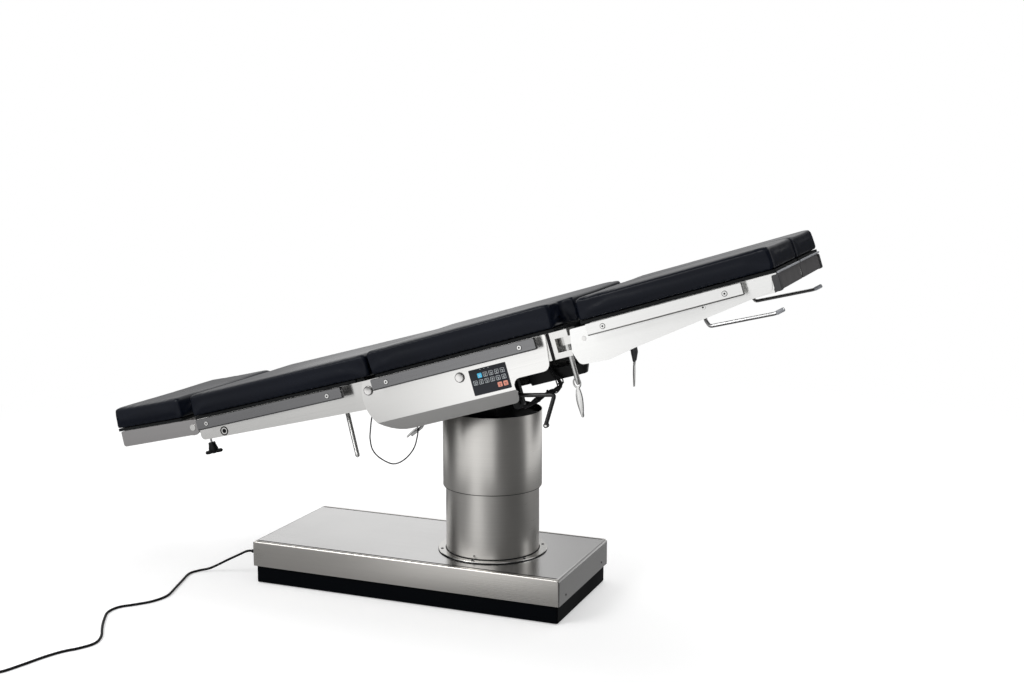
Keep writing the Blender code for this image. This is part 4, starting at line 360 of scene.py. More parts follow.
CLEVIS_PLATE = brushed("steel_clevis", (0.74, 0.735, 0.72), 0.26, UPRIGHT, SEAT_PITCH, 0.03)
SEAT_PLATE = brushed("steel_seat_plate", LIGHT_STEEL, 0.2, ALONG, SEAT_PITCH, 0.03, SEAT)
BACK_PLATE = brushed("steel_back_plate", (0.74, 0.735, 0.72), 0.2, ALONG, BACK.pitch, 0.03, BACK)
# The head plate's steel, made darker than the back plate's same steel as painted shade.
SHADED_HEAD_PLATE = brushed("steel_head_plate_shaded", (0.38, 0.37, 0.37), 0.32, ALONG, HEAD.pitch, 0.03)
LEG_PLATE = brushed("steel_leg_plate", (0.84, 0.84, 0.83), 0.21, ALONG, LEG.pitch, 0.02, LEG)
# The seat and back rails: the same steel as the leg rails, darkened as painted shade.
SHADED_RAIL = brushed("steel_rail_shaded", (0.205, 0.205, 0.21), 0.26, ALONG, SEAT_PITCH, 0.04)
ROD_STEEL = brushed("steel_rod", (0.36, 0.36, 0.36), 0.28, ALONG, LEG.pitch, 0.04)
SCREW = polished("steel_screw", (0.78, 0.78, 0.77), 0.22)
DARK_METAL = satin("metal_dark", (0.045, 0.045, 0.048), 0.4, 0.5)
# Near black for hex sockets and for rings about screw heads and bolt caps: painted shade of these
# recesses and edges.
SOCKET_SHADE = satin("socket_painted_shade", (0.012, 0.012, 0.013), 0.6, 0.2)
# Dark grey for the sheets over the legs' steel end faces: painted shade.
END_SHADE_PANEL = satin("panel_end_shade", (0.085, 0.082, 0.084), 0.42, 0.3)
TRIM = satin("trim_grey", (0.3, 0.31, 0.33), 0.4, 0.4)
MARK = satin("key_mark", (0.62, 0.66, 0.68), 0.45, 0.3)
KEY_BLUE = satin("key_blue", (0.06, 0.56, 0.88), 0.35, 0.4)
KEY_ORANGE = satin("key_orange", (0.78, 0.3, 0.22), 0.38, 0.4)
# The leg rails: the same steel as the other rails, lightened as painted light.
LIT_LEG_RAIL = brushed("steel_leg_rail_lit", (0.82, 0.82, 0.81), 0.3, ALONG, LEG.pitch, 0.03)


def turned_chrome():
    """Chrome turned on a lathe: its shine runs in rings round the Y axis."""
    finish = Finish("chrome_turned", (0.72, 0.71, 0.7), 0.16, 1.0)
    finish.shader.inputs["Anisotropic"].default_value = 0.85
    rings = finish.add("Tangent", direction_type="RADIAL", axis="Y")
    finish.feed(rings.outputs["Tangent"], "Tangent")
    finish.vary(finish.noise((60.0, 60.0, 60.0), 3.0), 0.05, 0.03)
    return finish.material


TURNED_CHROME = turned_chrome()


NODE_FINISH = {
    "base_chassis": SKIRT,
    "base_cover_top": BASE_TOP,
    "lift_cylinder": BLACK,
    "lift_ram": CHROME,
    "column_head": BLACK,
    "power_unit": UNIT_GREY,
    "battery_pack": UNIT_GREY,
    "cord_gland": RUBBER,
    "mains_plug": RUBBER,
    "tilt_block": BLACK,
    "seat_frame": BLACK,
    "seat_board": BOARD,
    "cable_hook": ROD_STEEL,
    "wiring_harness": RUBBER,
    "back_frame": BACK_PLATE,
    "back_board": BOARD,
    "head_frame": SHADED_HEAD_PLATE,
    "head_board": BOARD,
}
SIDE_FINISH = {
    "seat_cover": SEAT_PLATE,
    "leg_clevis": CLEVIS_PLATE,
    "underframe_arm": BLACK,
    "leg_lug": CLEVIS_PLATE,
    "leg_frame": LEG_PLATE,
    "leg_board": BOARD,
    "release_wire": ROD_STEEL,
}


def finish_nodes():
    """Gives every node of the frame its material."""
    finishes = dict(NODE_FINISH)
    for name, material in SIDE_FINISH.items():
        for word, _ in SIDES:
            finishes[f"{word}_{name}"] = material
    for name, material in finishes.items():
        for slot in NODES[name].material_slots:
            slot.link = "OBJECT"
            slot.material = material


def link_mesh(name, bm, material, smooth=True):
    """Turns a bmesh into a shown piece."""
    mesh = bpy.data.meshes.new(name)
    bm.to_mesh(mesh)
    bm.free()
    for face in mesh.polygons:
        face.use_smooth = smooth
    mesh.materials.append(material)
    return placed(name, mesh)


LEVEL = Section((0.0, 0.0, 0.0), 0.0)
SHARP_ANGLE = radians(38.0)


def circle(steps):
    """The cosine and sine at each step round a circle."""
    angles = [2 * pi * step / steps for step in range(steps)]
    return [(cos(angle), sin(angle)) for angle in angles]


class Shape:
    """A mesh drawn bit by bit in one section's coordinates."""

    def __init__(self, section):
        self.bm = bmesh.new()
        self.section = section

    def ring(self, places):
        """New corners at the places."""
        return [self.bm.verts.new(self.section.at(*place)) for place in places]

    def band(self, lower, upper, index):
        """Faces between two rings; a ring of one corner is a tip."""
        count = max(len(lower), len(upper))
        for step in range(count):
            after = (step + 1) % count
            corners = [lower[step % len(lower)]]
            if len(lower) > 1:
                corners.append(lower[after])
            if len(upper) > 1:
                corners.append(upper[after])
            corners.append(upper[step % len(upper)])
            self.bm.faces.new(corners).material_index = index

    def cap(self, ring, index):
        """A face that closes a ring."""
        if len(ring) > 2:
            self.bm.faces.new(ring).material_index = index

    def rings(self, rows, closed=True):
        """A skin over rows of (places, material index of the band after it)."""
        made = [(self.ring(places), index) for places, index in rows]
        for (lower, index), (upper, _) in zip(made, made[1:]):
            self.band(lower, upper, index)
        if closed:
            self.cap(made[0][0], made[0][1])
            self.cap(made[-1][0], made[-1][1])

    def lathe(self, start, way, profile, steps=24):
        """A turned shape; profile rows are (distance along way, radius, index, sides).

        The material index and the number of flat sides may be left out.
        """
        way = Vector(way).normalized()
        side = way.orthogonal().normalized()
        other = way.cross(side)
        rows = []
        for distance, radius, *kind in profile:
            index, sides = (*kind, 0, 0)[:2]
            middle = Vector(start) + way * distance
            if radius == 0.0:
                rows.append(([middle], index))
                continue
            places = []
            for step in range(steps):
                angle = 2 * pi * step / steps
                reach = radius
                if sides:
                    half = pi / sides
                    reach *= cos(half) / cos(angle % (2 * half) - half)
                offset = side * reach * cos(angle)
                places.append(middle + offset + other * reach * sin(angle))
            rows.append((places, index))
        self.rings(rows)

    def hoop(self, profile, steps=96):
        """A ring about the column; profile rows are (radius, height, index), all round it."""
        made = []
        for radius, height, index in profile:
            places = [(radius * x, radius * y, height) for x, y in circle(steps)]
            made.append((self.ring(places), index))
        for (lower, index), (upper, _) in zip(made, made[1:] + made[:1]):
            self.band(lower, upper, index)

    def prism(self, rows):
        """A flat shape through rows of (outline of (s, h), y, material index)."""
        self.rings([([(s, y, h) for s, h in outline], index) for outline, y, index in rows])

    def flattened(self, rows, steps=16):
        """A shape that runs along h; rows are (centre, half width, half depth, index)."""
        made = []
        for centre, wide, deep, index in rows:
            offsets = [Vector((wide * x, deep * y, 0.0)) for x, y in circle(steps)]
            made.append(([Vector(centre) + offset for offset in offsets], index))
        self.rings(made)

    def piece(self, name, materials, body, slot, *nodes):
        """Makes the shape a shown piece that rides on a body."""
        bmesh.ops.recalc_face_normals(self.bm, faces=self.bm.faces)
        made = link_mesh(name, self.bm, materials[0])
        for material in materials[1:]:
            made.data.materials.append(material)
        made.data.set_sharp_from_angle(angle=SHARP_ANGLE)
        attach(made, body, slot, *nodes)
        return made


def attach(piece, body, slot, *nodes):
    """Puts a piece on its body and hides the nodes it stands for; slot is not used."""
    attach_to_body(piece, body)
    if nodes:
        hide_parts(*nodes)


def quarter(steps, start=0.0):
    """The cosine and sine at each step round a quarter circle from start in degrees."""
    angles = [radians(start + 90.0 * step / steps) for step in range(steps + 1)]
    return [(cos(angle), sin(angle)) for angle in angles]


def rounded_box(low, high, radius, steps=4):
    """A rectangle's outline as (s, h) with round corners."""
    outline = []
    corners = (
        (high[0] - radius, high[1] - radius, 0.0),
        (low[0] + radius, high[1] - radius, 90.0),
        (low[0] + radius, low[1] + radius, 180.0),
        (high[0] - radius, low[1] + radius, 270.0),
    )
    for s, h, start in corners:
        outline += [(s + radius * x, h + radius * z) for x, z in quarter(steps, start)]
    return outline


def slab_rows(low, high, radius, y, bevel, index=0, foot=0.0):
    """Rows of a plate from y[0] to its bevelled face at y[1]; foot moves the bevel down."""
    way = 1.0 if y[1] > y[0] else -1.0
    depth = bevel + 0.8 * foot
    inset_low = (low[0] + bevel, low[1] + bevel + foot)
    inset_high = (high[0] - bevel, high[1] - (bevel / 4 if foot else bevel))
    inner = max(radius - bevel, radius / 3)
    return [
        (rounded_box(low, high, radius), y[0], index),
        (rounded_box(low, high, radius), y[1] - way * depth, index),
        (rounded_box(inset_low, inset_high, inner), y[1], index),
    ]


def screw_profile(radius, proud, socket):
    """A flat screw head with a ring of painted shade about it and a hexagonal socket painted dark
    as shade.
    """
    edge = proud / 3
    ring = radius * 1.18
    return [
        (0.0, ring, 1), (edge / 2, ring, 1), (edge / 2, radius),
        (proud - edge, radius), (proud, radius - edge), (proud, socket, 1, 6),
        (edge, socket * 0.9, 1, 6), (edge, 0.0, 1),
    ]


# Outer faces of the seat's and legs' side plates
PLATE_Y = 0.2682

# Side rails: node, body, section, both ends, its screws, the plate behind it, and its steel
RAIL_OUTER_Y = 0.296
RAIL_INNER_Y = 0.286
RAIL_HALF_HEIGHT = 0.015
RAIL_SCREW = (0.006, 0.0012, 0.0027)
SPACER_RADIUS = 0.009
RAILS = (
    ("seat_rail", "seat", SEAT, (-0.229, 0.2505), (-0.1835, 0.206), PLATE_Y, SHADED_RAIL),
    ("back_rail", "back", BACK, (-0.798, -0.322), (-0.764, -0.367), 0.2622, SHADED_RAIL),
    ("leg_rail", "{side}_leg", LEG, (0.39, 0.791), (0.434, 0.7467), PLATE_Y, LIT_LEG_RAIL),
)


def make_rails():
    """The six side rails with their spacers and socket screws."""
    for word, side in SIDES:
        for node, body, section, ends, screws, plate_y, steel in RAILS:
            shape = Shape(section)
            low = (ends[0], -RAIL_HALF_HEIGHT)
            high = (ends[1], RAIL_HALF_HEIGHT)
            y = (side * RAIL_INNER_Y, side * RAIL_OUTER_Y)
            shape.prism(slab_rows(low, high, 0.003, y, 0.0014, 0, 0.002))
            spacer = [(0.0, SPACER_RADIUS), (RAIL_INNER_Y - plate_y + 0.0006, SPACER_RADIUS)]
            heads = Shape(section)
            out = (0.0, side, 0.0)
            for s in screws:
                shape.lathe((s, side * plate_y, 0.0), out, spacer)
                heads.lathe((s, side * RAIL_OUTER_Y, 0.0), out, screw_profile(*RAIL_SCREW))
            name = f"{word}_{node}"
            carrier = body.format(side=word)
            shape.piece(name + "_bar", [steel], carrier, "brushed_sheet", name)
            heads.piece(name + "_screws", [SCREW, SOCKET_SHADE], carrier, "chrome")


# Chrome bolt covers on the seat's side covers: place along and above, and radius
TRIM_BOLTS = (("hinge", -0.2563, -0.0123, 0.0128), ("tilt", 0.0122, -0.0377, 0.0132))


def make_trim_bolts():
    """Turned chrome caps over the hinge bolts and the polished bolts, with dark rings of painted
    shade at their foot and face rims.
    """
    for word, side in SIDES:
        for label, s, h, radius in TRIM_BOLTS:
            shape = Shape(SEAT)
            profile = [
                (0.0, radius, 1), (0.0012, radius, 1), (0.0016, radius - 0.0008),
                (0.0046, radius - 0.001), (0.0054, radius - 0.0018, 1),
                (0.0053, radius - 0.0026), (0.0038, 0.0),
            ]
            shape.lathe((s, side * PLATE_Y, h), (0.0, side, 0.0), profile, 48)
            shape.piece(f"{word}_{label}_bolt_cap", [TURNED_CHROME, SOCKET_SHADE], "seat", "chrome")


# Control panel on the near cover: rows of (number of keys, height), and each sign's tilt
PANEL_LOW = (0.04, -0.0938)
PANEL_HIGH = (0.146, -0.0268)
PANEL_BACK_Y = -0.2683
PANEL_FACE_Y = -0.2695
KEY_PITCH = 0.0163
KEY_HALF = 0.0062
KEY_LAST_S = 0.1337
KEY_ROWS = ((5, -0.0447), (6, -0.0615), (2, -0.079))
KEY_LINE = 0.0008
KEY_RISE = 0.0006
KEY_MARGIN = 0.0004
MARK_RISE = 0.00012
KEY_TILTS = (0.0, 24.0, -24.0, 14.0, -14.0, 0.0, 32.0, -32.0, 18.0, -18.0, 40.0, 0.0, 0.0)
LIGHT_PLACES = ((0.074, -0.0302), (0.085, -0.0302), (0.0975, -0.0302))


def bar_outline(s, h, length, width, tilt):
    """A small bar's outline, turned by tilt degrees."""
    angle = radians(tilt)
    outline = []
    for along, across in ((-1, -1), (1, -1), (1, 1), (-1, 1)):
        x = along * length / 2
        z = across * width / 2
        turned_s = s + x * cos(angle) - z * sin(angle)
        turned_h = h + x * sin(angle) + z * cos(angle)
        outline.append((turned_s, turned_h))
    return outline


def make_key(shape, s, h, number):
    """One raised key with its outline and a plain sign of a tilted table top."""
    top = PANEL_FACE_Y - KEY_RISE
    body = {0: 2, 11: 3, 12: 3}.get(number, 0)
    low = (s - KEY_HALF, h - KEY_HALF)
    high = (s + KEY_HALF, h + KEY_HALF)
    shape.prism(slab_rows(low, high, 0.0018, (PANEL_FACE_Y, top), 0.0002, body))
    face = top - MARK_RISE
    sign = 0 if body == 3 else 1
    if body == 0:
        rows = []
        levels = ((KEY_MARGIN, 0.0016, (top, face)), (KEY_MARGIN + KEY_LINE, 0.0012, (face, top)))
        for edge, radius, faces in levels:
            inset_low = (low[0] + edge, low[1] + edge)
            inset_high = (high[0] - edge, high[1] - edge)
            outline = rounded_box(inset_low, inset_high, radius)
            rows += [([(a, y, b) for a, b in outline], 1) for y in faces]
        shape.rings(rows, closed=False)
    tilt = KEY_TILTS[number]
    bars = [
        (s, h + 0.0012, 0.0072, 0.0009, tilt),
        (s, h - 0.0012, 0.0009, 0.004, 0.0),
        (s, h - 0.0034, 0.0048, 0.0009, 0.0),
    ]
    for row in bars:
        outline = bar_outline(*row)
        shape.prism([(outline, top, sign), (outline, face, sign)])


def make_panel():
    """The control panel with its thirteen keys and three small lights."""
    shape = Shape(SEAT)
    shape.prism(slab_rows(PANEL_LOW, PANEL_HIGH, 0.002, (PANEL_BACK_Y, PANEL_FACE_Y), 0.0003))
    number = 0
    for count, h in KEY_ROWS:
        for index in range(count):
            make_key(shape, KEY_LAST_S - (count - 1 - index) * KEY_PITCH, h, number)
            number += 1
    for s, h in LIGHT_PLACES:
        outline = bar_outline(s, h, 0.003, 0.0009, 0.0)
        shape.prism([(outline, PANEL_FACE_Y, 1), (outline, PANEL_FACE_Y - 0.0002, 1)])
    shape.piece("control_panel", [PANEL, MARK, KEY_BLUE, KEY_ORANGE], "seat", "keypad", "keypad")


# Clamp levers: spindle, the eye at its foot and the hanging handle
SPINDLE_S = 0.31
SPINDLE_Y = 0.236
SPINDLE_TOP = 0.0143
SPINDLE_RADIUS = 0.007
COLLAR_RADIUS = 0.012
COLLAR_START = 0.0382
COLLAR_END = 0.0529

# The handles, near and far: rows of (s, h, half width, half depth, material index)
HANDLES = (
    (
        (0.3058, -0.1362, 0.003, 0.0024, 2), (0.3045, -0.142, 0.0062, 0.0026, 2),
        (0.303, -0.154, 0.0086, 0.0027, 2), (0.3015, -0.167, 0.0096, 0.0028, 2),
        (0.3, -0.182, 0.0084, 0.0027, 2), (0.2985, -0.198, 0.0058, 0.0025, 2),
        (0.2975, -0.21, 0.004, 0.0022, 2), (0.2973, -0.2125, 0.0022, 0.0014, 2),
    ),
    (
        (0.313, -0.108, 0.0105, 0.007, 1), (0.3115, -0.122, 0.0108, 0.007, 1),
        (0.306, -0.143, 0.0062, 0.006, 1), (0.3042, -0.147, 0.0036, 0.0062, 0),
        (0.3, -0.16, 0.0034, 0.008, 0), (0.295, -0.177, 0.0036, 0.0088, 0),
        (0.288, -0.201, 0.0034, 0.0056, 0), (0.2838, -0.215, 0.0026, 0.003, 0),
    ),
)


def spindle_rows():
    """The spindle from the clevis's top down to the eye, as a lathe profile."""
    return [
        (0.0, SPINDLE_RADIUS), (COLLAR_START, SPINDLE_RADIUS), (COLLAR_START, COLLAR_RADIUS),
        (COLLAR_END, COLLAR_RADIUS), (COLLAR_END, SPINDLE_RADIUS), (0.129, 0.0066),
        (0.14, 0.0058), (0.144, 0.004), (0.144, 0.0),
    ]


def make_clamp_levers():
    """Both clamp levers: the near handle is seen flat, the far one on its edge."""
    for (word, side), rows in zip(SIDES, HANDLES):
        y = side * SPINDLE_Y
        shape = Shape(SEAT)
        shape.lathe((SPINDLE_S, y, SPINDLE_TOP), (0.0, 0.0, -1.0), spindle_rows())
        if word == "near":
            eye_ring(shape, (0.3066, y, -0.1245), (0.009, 0.0125), 0.0022)
        shape.flattened([((s, y, h), *sizes) for s, h, *sizes in rows])
        steels = [ROD_STEEL_BRIGHT, DARK_METAL, SCREW]
        body = f"{word}_clamp"
        shape.piece(body + "_handle", steels, body, "chrome", body + "_lever")


def eye_ring(shape, centre, reach, radius, steps=28, sides=10):
    """An oval ring of round wire in the plane of s and h."""
    rows = []
    for cosine, sine in circle(steps):
        way = Vector((cosine, 0.0, sine))
        middle = Vector(centre) + Vector((way.x * reach[0], 0.0, way.z * reach[1]))
        places = []
        for out, aside in circle(sides):
            places.append(middle + way * radius * out + Vector((0.0, radius * aside, 0.0)))
        rows.append(shape.ring(places))
    for lower, upper in zip(rows, rows[1:] + rows[:1]):
        shape.band(lower, upper, 0)


def bent_path(points, bend, steps=8):
    """A path through the points with round bends."""
    path = [Vector(points[0])]
    for before, corner, after in zip(points, points[1:], points[2:]):
        corner = Vector(corner)
        start = corner + (Vector(before) - corner).normalized() * bend
        end = corner + (Vector(after) - corner).normalized() * bend
        for step in range(steps + 1):
            t = step / steps
            path.append(start * (1 - t) ** 2 + corner * 2 * t * (1 - t) + end * t**2)
    path.append(Vector(points[-1]))
    return path


def section_curve(name, section, points, radius, material, sides=4):
    """A round bar or cable along points of a section."""
    piece = curve_piece(name, [section.at(*point) for point in points], radius, sides)
    piece.data.materials.append(material)
    return piece


CRANK_Y = -0.222
CRANK_RADIUS = 0.0056
CRANK_BEND = 0.009
CRANK_POINTS = ((0.12, CRANK_Y, -0.118), (0.2335, CRANK_Y, -0.1418), (0.1885, CRANK_Y, -0.211))


def make_crank():
    """The bent hand lever with its hub and the eye at its end."""
    path = bent_path(CRANK_POINTS, CRANK_BEND)
    arm = section_curve("crank_arm", SEAT, path, CRANK_RADIUS, PAINTED_METAL)
    attach(arm, "crank", "black_paint", "crank_lever")
    shape = Shape(SEAT)
    pivot = CRANK_POINTS[0]
    profile = [
        (0.0, 0.0105), (0.001, 0.012), (0.011, 0.012), (0.012, 0.0105), (0.012, 0.006, 1, 6),
        (0.01, 0.005, 1, 6), (0.01, 0.0, 1),
    ]
    shape.lathe((pivot[0], CRANK_Y + 0.006, pivot[2]), (0.0, -1.0, 0.0), profile)
    tip = CRANK_POINTS[-1]
    end = [
        (0.0, 0.0066), (0.01, 0.0066), (0.011, 0.0056), (0.011, 0.0034, 1), (0.01, 0.0034, 1),
        (0.01, 0.0, 1),
    ]
    shape.lathe((tip[0], CRANK_Y + 0.0055, tip[2] - 0.002), (0.0, -1.0, 0.0), end)
    shape.piece("crank_hub", [PAINTED_METAL, SCREW], "crank", "black_paint")


KNOB_S = -0.8034
KNOB_Y = 0.24


def make_lock_knobs():
    """The head locks: thin neck, conical grip and a cross bar with round ends."""
    for word, side in SIDES:
        shape = Shape(BACK)
        body = f"{word}_head_lock"
        y = side * KNOB_Y
        profile = [
            (0.0, 0.0028, 1), (0.017, 0.0028, 1), (0.017, 0.0085), (0.0185, 0.0098),
            (0.025, 0.0105), (0.034, 0.013), (0.04, 0.0138), (0.047, 0.0105), (0.049, 0.006),
            (0.049, 0.0),
        ]
        shape.lathe((KNOB_S, y, -0.0405), (0.0, 0.0, -1.0), profile)
        steels = [BLACK, ROD_STEEL]
        shape.piece(f"{word}_knob_grip", steels, body, "black_paint", body + "_knob")
        bar = Shape(BACK)
        rows = [
            (0.0, 0.0), (0.0006, 0.003), (0.003, 0.005), (0.011, 0.0054), (0.02, 0.0046),
            (0.0284, 0.0058), (0.0368, 0.0046), (0.0458, 0.0054), (0.0538, 0.005),
            (0.0562, 0.003), (0.0568, 0.0),
        ]
        bar.lathe((KNOB_S - 0.0284, y, -0.085), (1.0, 0.0, 0.0), rows)
        bar.piece(f"{word}_knob_bar", [BLACK], body, "black_paint")


ROD_Y = -0.24
ROD_TOP = (-0.3518, ROD_Y, -0.05)
ROD_TIP = (-0.3557, ROD_Y, -0.183)
ROD_RADIUS = 0.0064
THREAD_PITCH = 0.0026
THREAD_DEPTH = 0.0009


def make_release_rod():
    """The release rod of the back section: a fine thread, a flat hub and a blunt tip."""
    shape = Shape(BACK)
    way = Vector(ROD_TIP) - Vector(ROD_TOP)
    length = way.length
    profile = [(0.0, 0.0), (0.0, 0.0052), (0.006, 0.0052)]
    place = 0.008
    while place < length - 0.012:
        profile.append((place, ROD_RADIUS))
        profile.append((place + THREAD_PITCH / 2, ROD_RADIUS - THREAD_DEPTH))
        place += THREAD_PITCH
    profile += [
        (length - 0.01, ROD_RADIUS), (length - 0.004, ROD_RADIUS - 0.0004), (length, 0.003),
        (length, 0.0),
    ]
    shape.lathe(ROD_TOP, way, profile, 20)
    hub = [(0.0, 0.0085), (0.0098, 0.0085), (0.0104, 0.0075), (0.0104, 0.0)]
    shape.lathe((ROD_TOP[0], ROD_Y + 0.0049, ROD_TOP[2]), (0.0, -1.0, 0.0), hub)
    body = "back_release"
    shape.piece("release_rod_threaded", [ROD_STEEL_BRIGHT], body, "chrome", body + "_rod")


# Screws round the column: body, angles, reach, height, whether they point up, and their sizes
ROUND_SCREWS = (
    ("base", range(-150, 180, 60), 0.1418, 0.1283, True, (0.0036, 0.0012, 0.0018)),
    ("base", range(-90, 180, 120), 0.1293, 0.137, False, (0.003, 0.001, 0.0015)),
    ("lift", range(-165, 180, 45), 0.122, 0.5128, True, (0.0045, 0.003, 0.0022)),
)
END_SCREWS = ((0.2718, 1.0), (-0.6578, -1.0))
END_SCREW_Y = 0.1475
END_SCREW_Z = 0.07
END_SCREW_SIZES = (0.0034, 0.0009, 0.0017)

# Screws on the outside of each leg: place along and above, and their sizes
LEG_SCREW_Y = 0.2678
LEG_SCREWS = ((0.3682, -0.0189, (0.006, 0.0008, 0.0022)), (0.68, -0.0197, (0.0062, 0.001, 0.0026)))


def fitting_rows():
    """Each small screw but those of the rails: (section, body, place, way, sizes)."""
    rows = []
    for body, angles, reach, height, upright, sizes in ROUND_SCREWS:
        for angle in angles:
            turn = radians(angle)
            way = (cos(turn), sin(turn), 0.0)
            place = (reach * way[0], reach * way[1], height)
            rows.append((LEVEL, body, place, (0.0, 0.0, 1.0) if upright else way, sizes))
    for y in (-END_SCREW_Y, END_SCREW_Y):
        for x, way in END_SCREWS:
            rows.append((LEVEL, "base", (x, y, END_SCREW_Z), (way, 0.0, 0.0), END_SCREW_SIZES))
    for word, side in SIDES:
        for s, h, sizes in LEG_SCREWS:
            place = (s, side * LEG_SCREW_Y, h)
            rows.append((LEG, f"{word}_leg", place, (0.0, side, 0.0), sizes))
    return rows


def make_fittings():
    """Small screws, one piece for each body."""
    shapes = {}
    for section, body, place, way, sizes in fitting_rows():
        shape = shapes.setdefault((body, section.pitch), Shape(section))
        shape.lathe(place, way, screw_profile(*sizes))
    for number, ((body, _), shape) in enumerate(shapes.items()):
        metal = DARK_METAL if body == "base" else SCREW
        shape.piece(f"{body}_screws_{number}", [metal, SOCKET_SHADE], body, "chrome")


def make_leg_ends():
    """Dark sheets of painted shade over the legs' end faces, corner caps and the trim rod at the
    foot end of each leg.
    """
    for word, side in SIDES:
        body = f"{word}_leg"
        shape = Shape(LEG)
        # A thin dark sheet over the steel end face, standing for its shade.
        inner, outer = side * 0.0088, side * 0.254
        ring = [(inner, -0.0265), (outer, -0.0265), (outer, 0.012), (inner, 0.012)]
        shape.rings([([(s, y, h) for y, h in ring], 0) for s in (0.8697, 0.8716)])
        shape.piece(f"{word}_leg_end_shade_panel", [END_SHADE_PANEL], body, "black_paint")
        cap = Shape(LEG)
        low, high = (0.857, -0.0285), (0.8745, 0.0112)
        cap.prism(slab_rows(low, high, 0.004, (side * 0.253, side * 0.27), 0.0014))
        cap.piece(f"{word}_leg_corner_cap", [DARK_METAL], body, "black_paint")
        ends = [(0.8738, side * 0.01, 0.015), (0.8738, side * 0.266, 0.015)]
        trim = section_curve(f"{word}_leg_trim", LEG, ends, 0.0027, TRIM)
        attach(trim, body, "chrome")
        tip = Shape(LEG)
        way = Vector((0.023, 0.0, 0.005))
        profile = [
            (0.0, 0.0046), (0.0012, 0.0053), (0.019, 0.0053), (0.0212, 0.0036), (0.0212, 0.0),
        ]
        tip.lathe((0.8415, side * 0.25, -0.0775), way, profile)
        tip.piece(f"{word}_wire_tip", [TRIM], f"{word}_wire", "black_paint")


# Wiring tied along the harness, as offsets (along, across, above), and the ties' places
HARNESS_POINTS = (
    (0.197, -0.21, -0.03), (0.206, -0.21, -0.053), (0.225, -0.2085, -0.064),
    (0.24, -0.2075, -0.088), (0.252, -0.2065, -0.118), (0.24, -0.206, -0.131),
    (0.212, -0.206, -0.135), (0.18, -0.206, -0.144), (0.156, -0.206, -0.153),
)
WIRES = ((0.0058, -0.003, 0.003), (-0.0045, -0.0055, 0.002), (0.0015, -0.0066, -0.004))
WIRE_SWAY = 0.0035
WIRE_RADIUS = 0.0017
TIES = (3, 4, 6, 7)


def make_wires():
    """Thin wires round the tied harness, with their cable ties."""
    for number, (along, across, above) in enumerate(WIRES):
        points = []
        for index, (s, y, h) in enumerate(HARNESS_POINTS):
            sway = WIRE_SWAY * (-1.0 if (index + number) % 2 else 1.0)
            points.append((s + along + sway, y + across, h + above + sway))
        route = smooth_route(points, 5)
        wire = section_curve(f"harness_wire_{number}", SEAT, route, WIRE_RADIUS, RUBBER)
        attach(wire, "seat", "cable")
    shape = Shape(SEAT)
    for index in TIES:
        place = Vector(HARNESS_POINTS[index])
        before, after = HARNESS_POINTS[index - 1], HARNESS_POINTS[index + 1]
        way = (Vector(after) - Vector(before)).normalized()
        profile = [(0.0, 0.0076), (0.0005, 0.0086), (0.003, 0.0086), (0.0035, 0.0076)]
        shape.lathe(place - way * 0.0017, way, profile, 20)
    shape.piece("harness_ties", [BLACK], "seat", "black_paint")


LOOP_RADIUS = 0.00175
LOOP_POINTS = (
    (-0.2563, -0.24, -0.0352), (-0.258, -0.24, -0.048), (-0.268, -0.24, -0.064),
    (-0.2846, -0.24, -0.0846), (-0.3015, -0.239, -0.1202), (-0.3096, -0.238, -0.1416),
    (-0.3114, -0.237, -0.1714), (-0.2962, -0.236, -0.1977), (-0.2645, -0.234, -0.2203),
    (-0.2294, -0.231, -0.2158), (-0.1971, -0.228, -0.1951), (-0.1788, -0.226, -0.1692),
    (-0.1684, -0.225, -0.1442), (-0.166, -0.227, -0.11), (-0.168, -0.238, -0.06),
    (-0.168, -0.24, -0.0284),
)


def make_cable_loop():
    """The thin cable that hangs in a loop under the hinge of the back section."""
    points = smooth_route(LOOP_POINTS, 5)
    loop = section_curve("cable_loop_hanging", SEAT, points, LOOP_RADIUS, RUBBER)
    attach(loop, "seat", "cable", "cable_loop")


# Column: each sleeve's rows of (radius, height, material index) right round its wall
SLEEVES = (
    (
        "column_lower_sleeve",
        "base",
        (
            (0.1277, 0.43, 0), (0.1292, 0.43, 0), (0.1297, 0.4295, 0), (0.1297, 0.122, 1),
            (0.1277, 0.122, 1),
        ),
    ),
    (
        "column_middle_sleeve",
        "middle_stage",
        (
            (0.13, 0.315, 0), (0.133, 0.315, 0), (0.1335, 0.3155, 0), (0.1335, 0.4645, 0),
            (0.133, 0.465, 0), (0.1315, 0.465, 1), (0.1315, 0.335, 1), (0.13, 0.335, 1),
        ),
    ),
    (
        "column_upper_sleeve",
        "lift",
        (
            (0.1338, 0.3103, 1), (0.1362, 0.3103, 0), (0.1373, 0.3112, 0), (0.1373, 0.5228, 0),
            (0.1368, 0.5235, 0), (0.1358, 0.5235, 1), (0.1353, 0.523, 1), (0.1353, 0.33, 1),
            (0.1338, 0.33, 1),
        ),
    ),
)
# The ring's dark underside and lower outer edge are painted shade of the gap under it; the dark
# band at its inner edge is a seal.
FLANGE_ROWS = (
    (0.13, 0.1246, 1), (0.1524, 0.1246, 1), (0.1524, 0.127, 0), (0.1513, 0.1283, 0),
    (0.1321, 0.1283, 1), (0.1312, 0.1302, 1), (0.13, 0.1302, 1),
)
# A black wiper ring, which also stands for the shade under the upper sleeve's step.
WIPER_SHADE_ROWS = ((0.134, 0.309, 0), (0.1362, 0.309, 0), (0.137, 0.3103, 0), (0.134, 0.3103, 0))


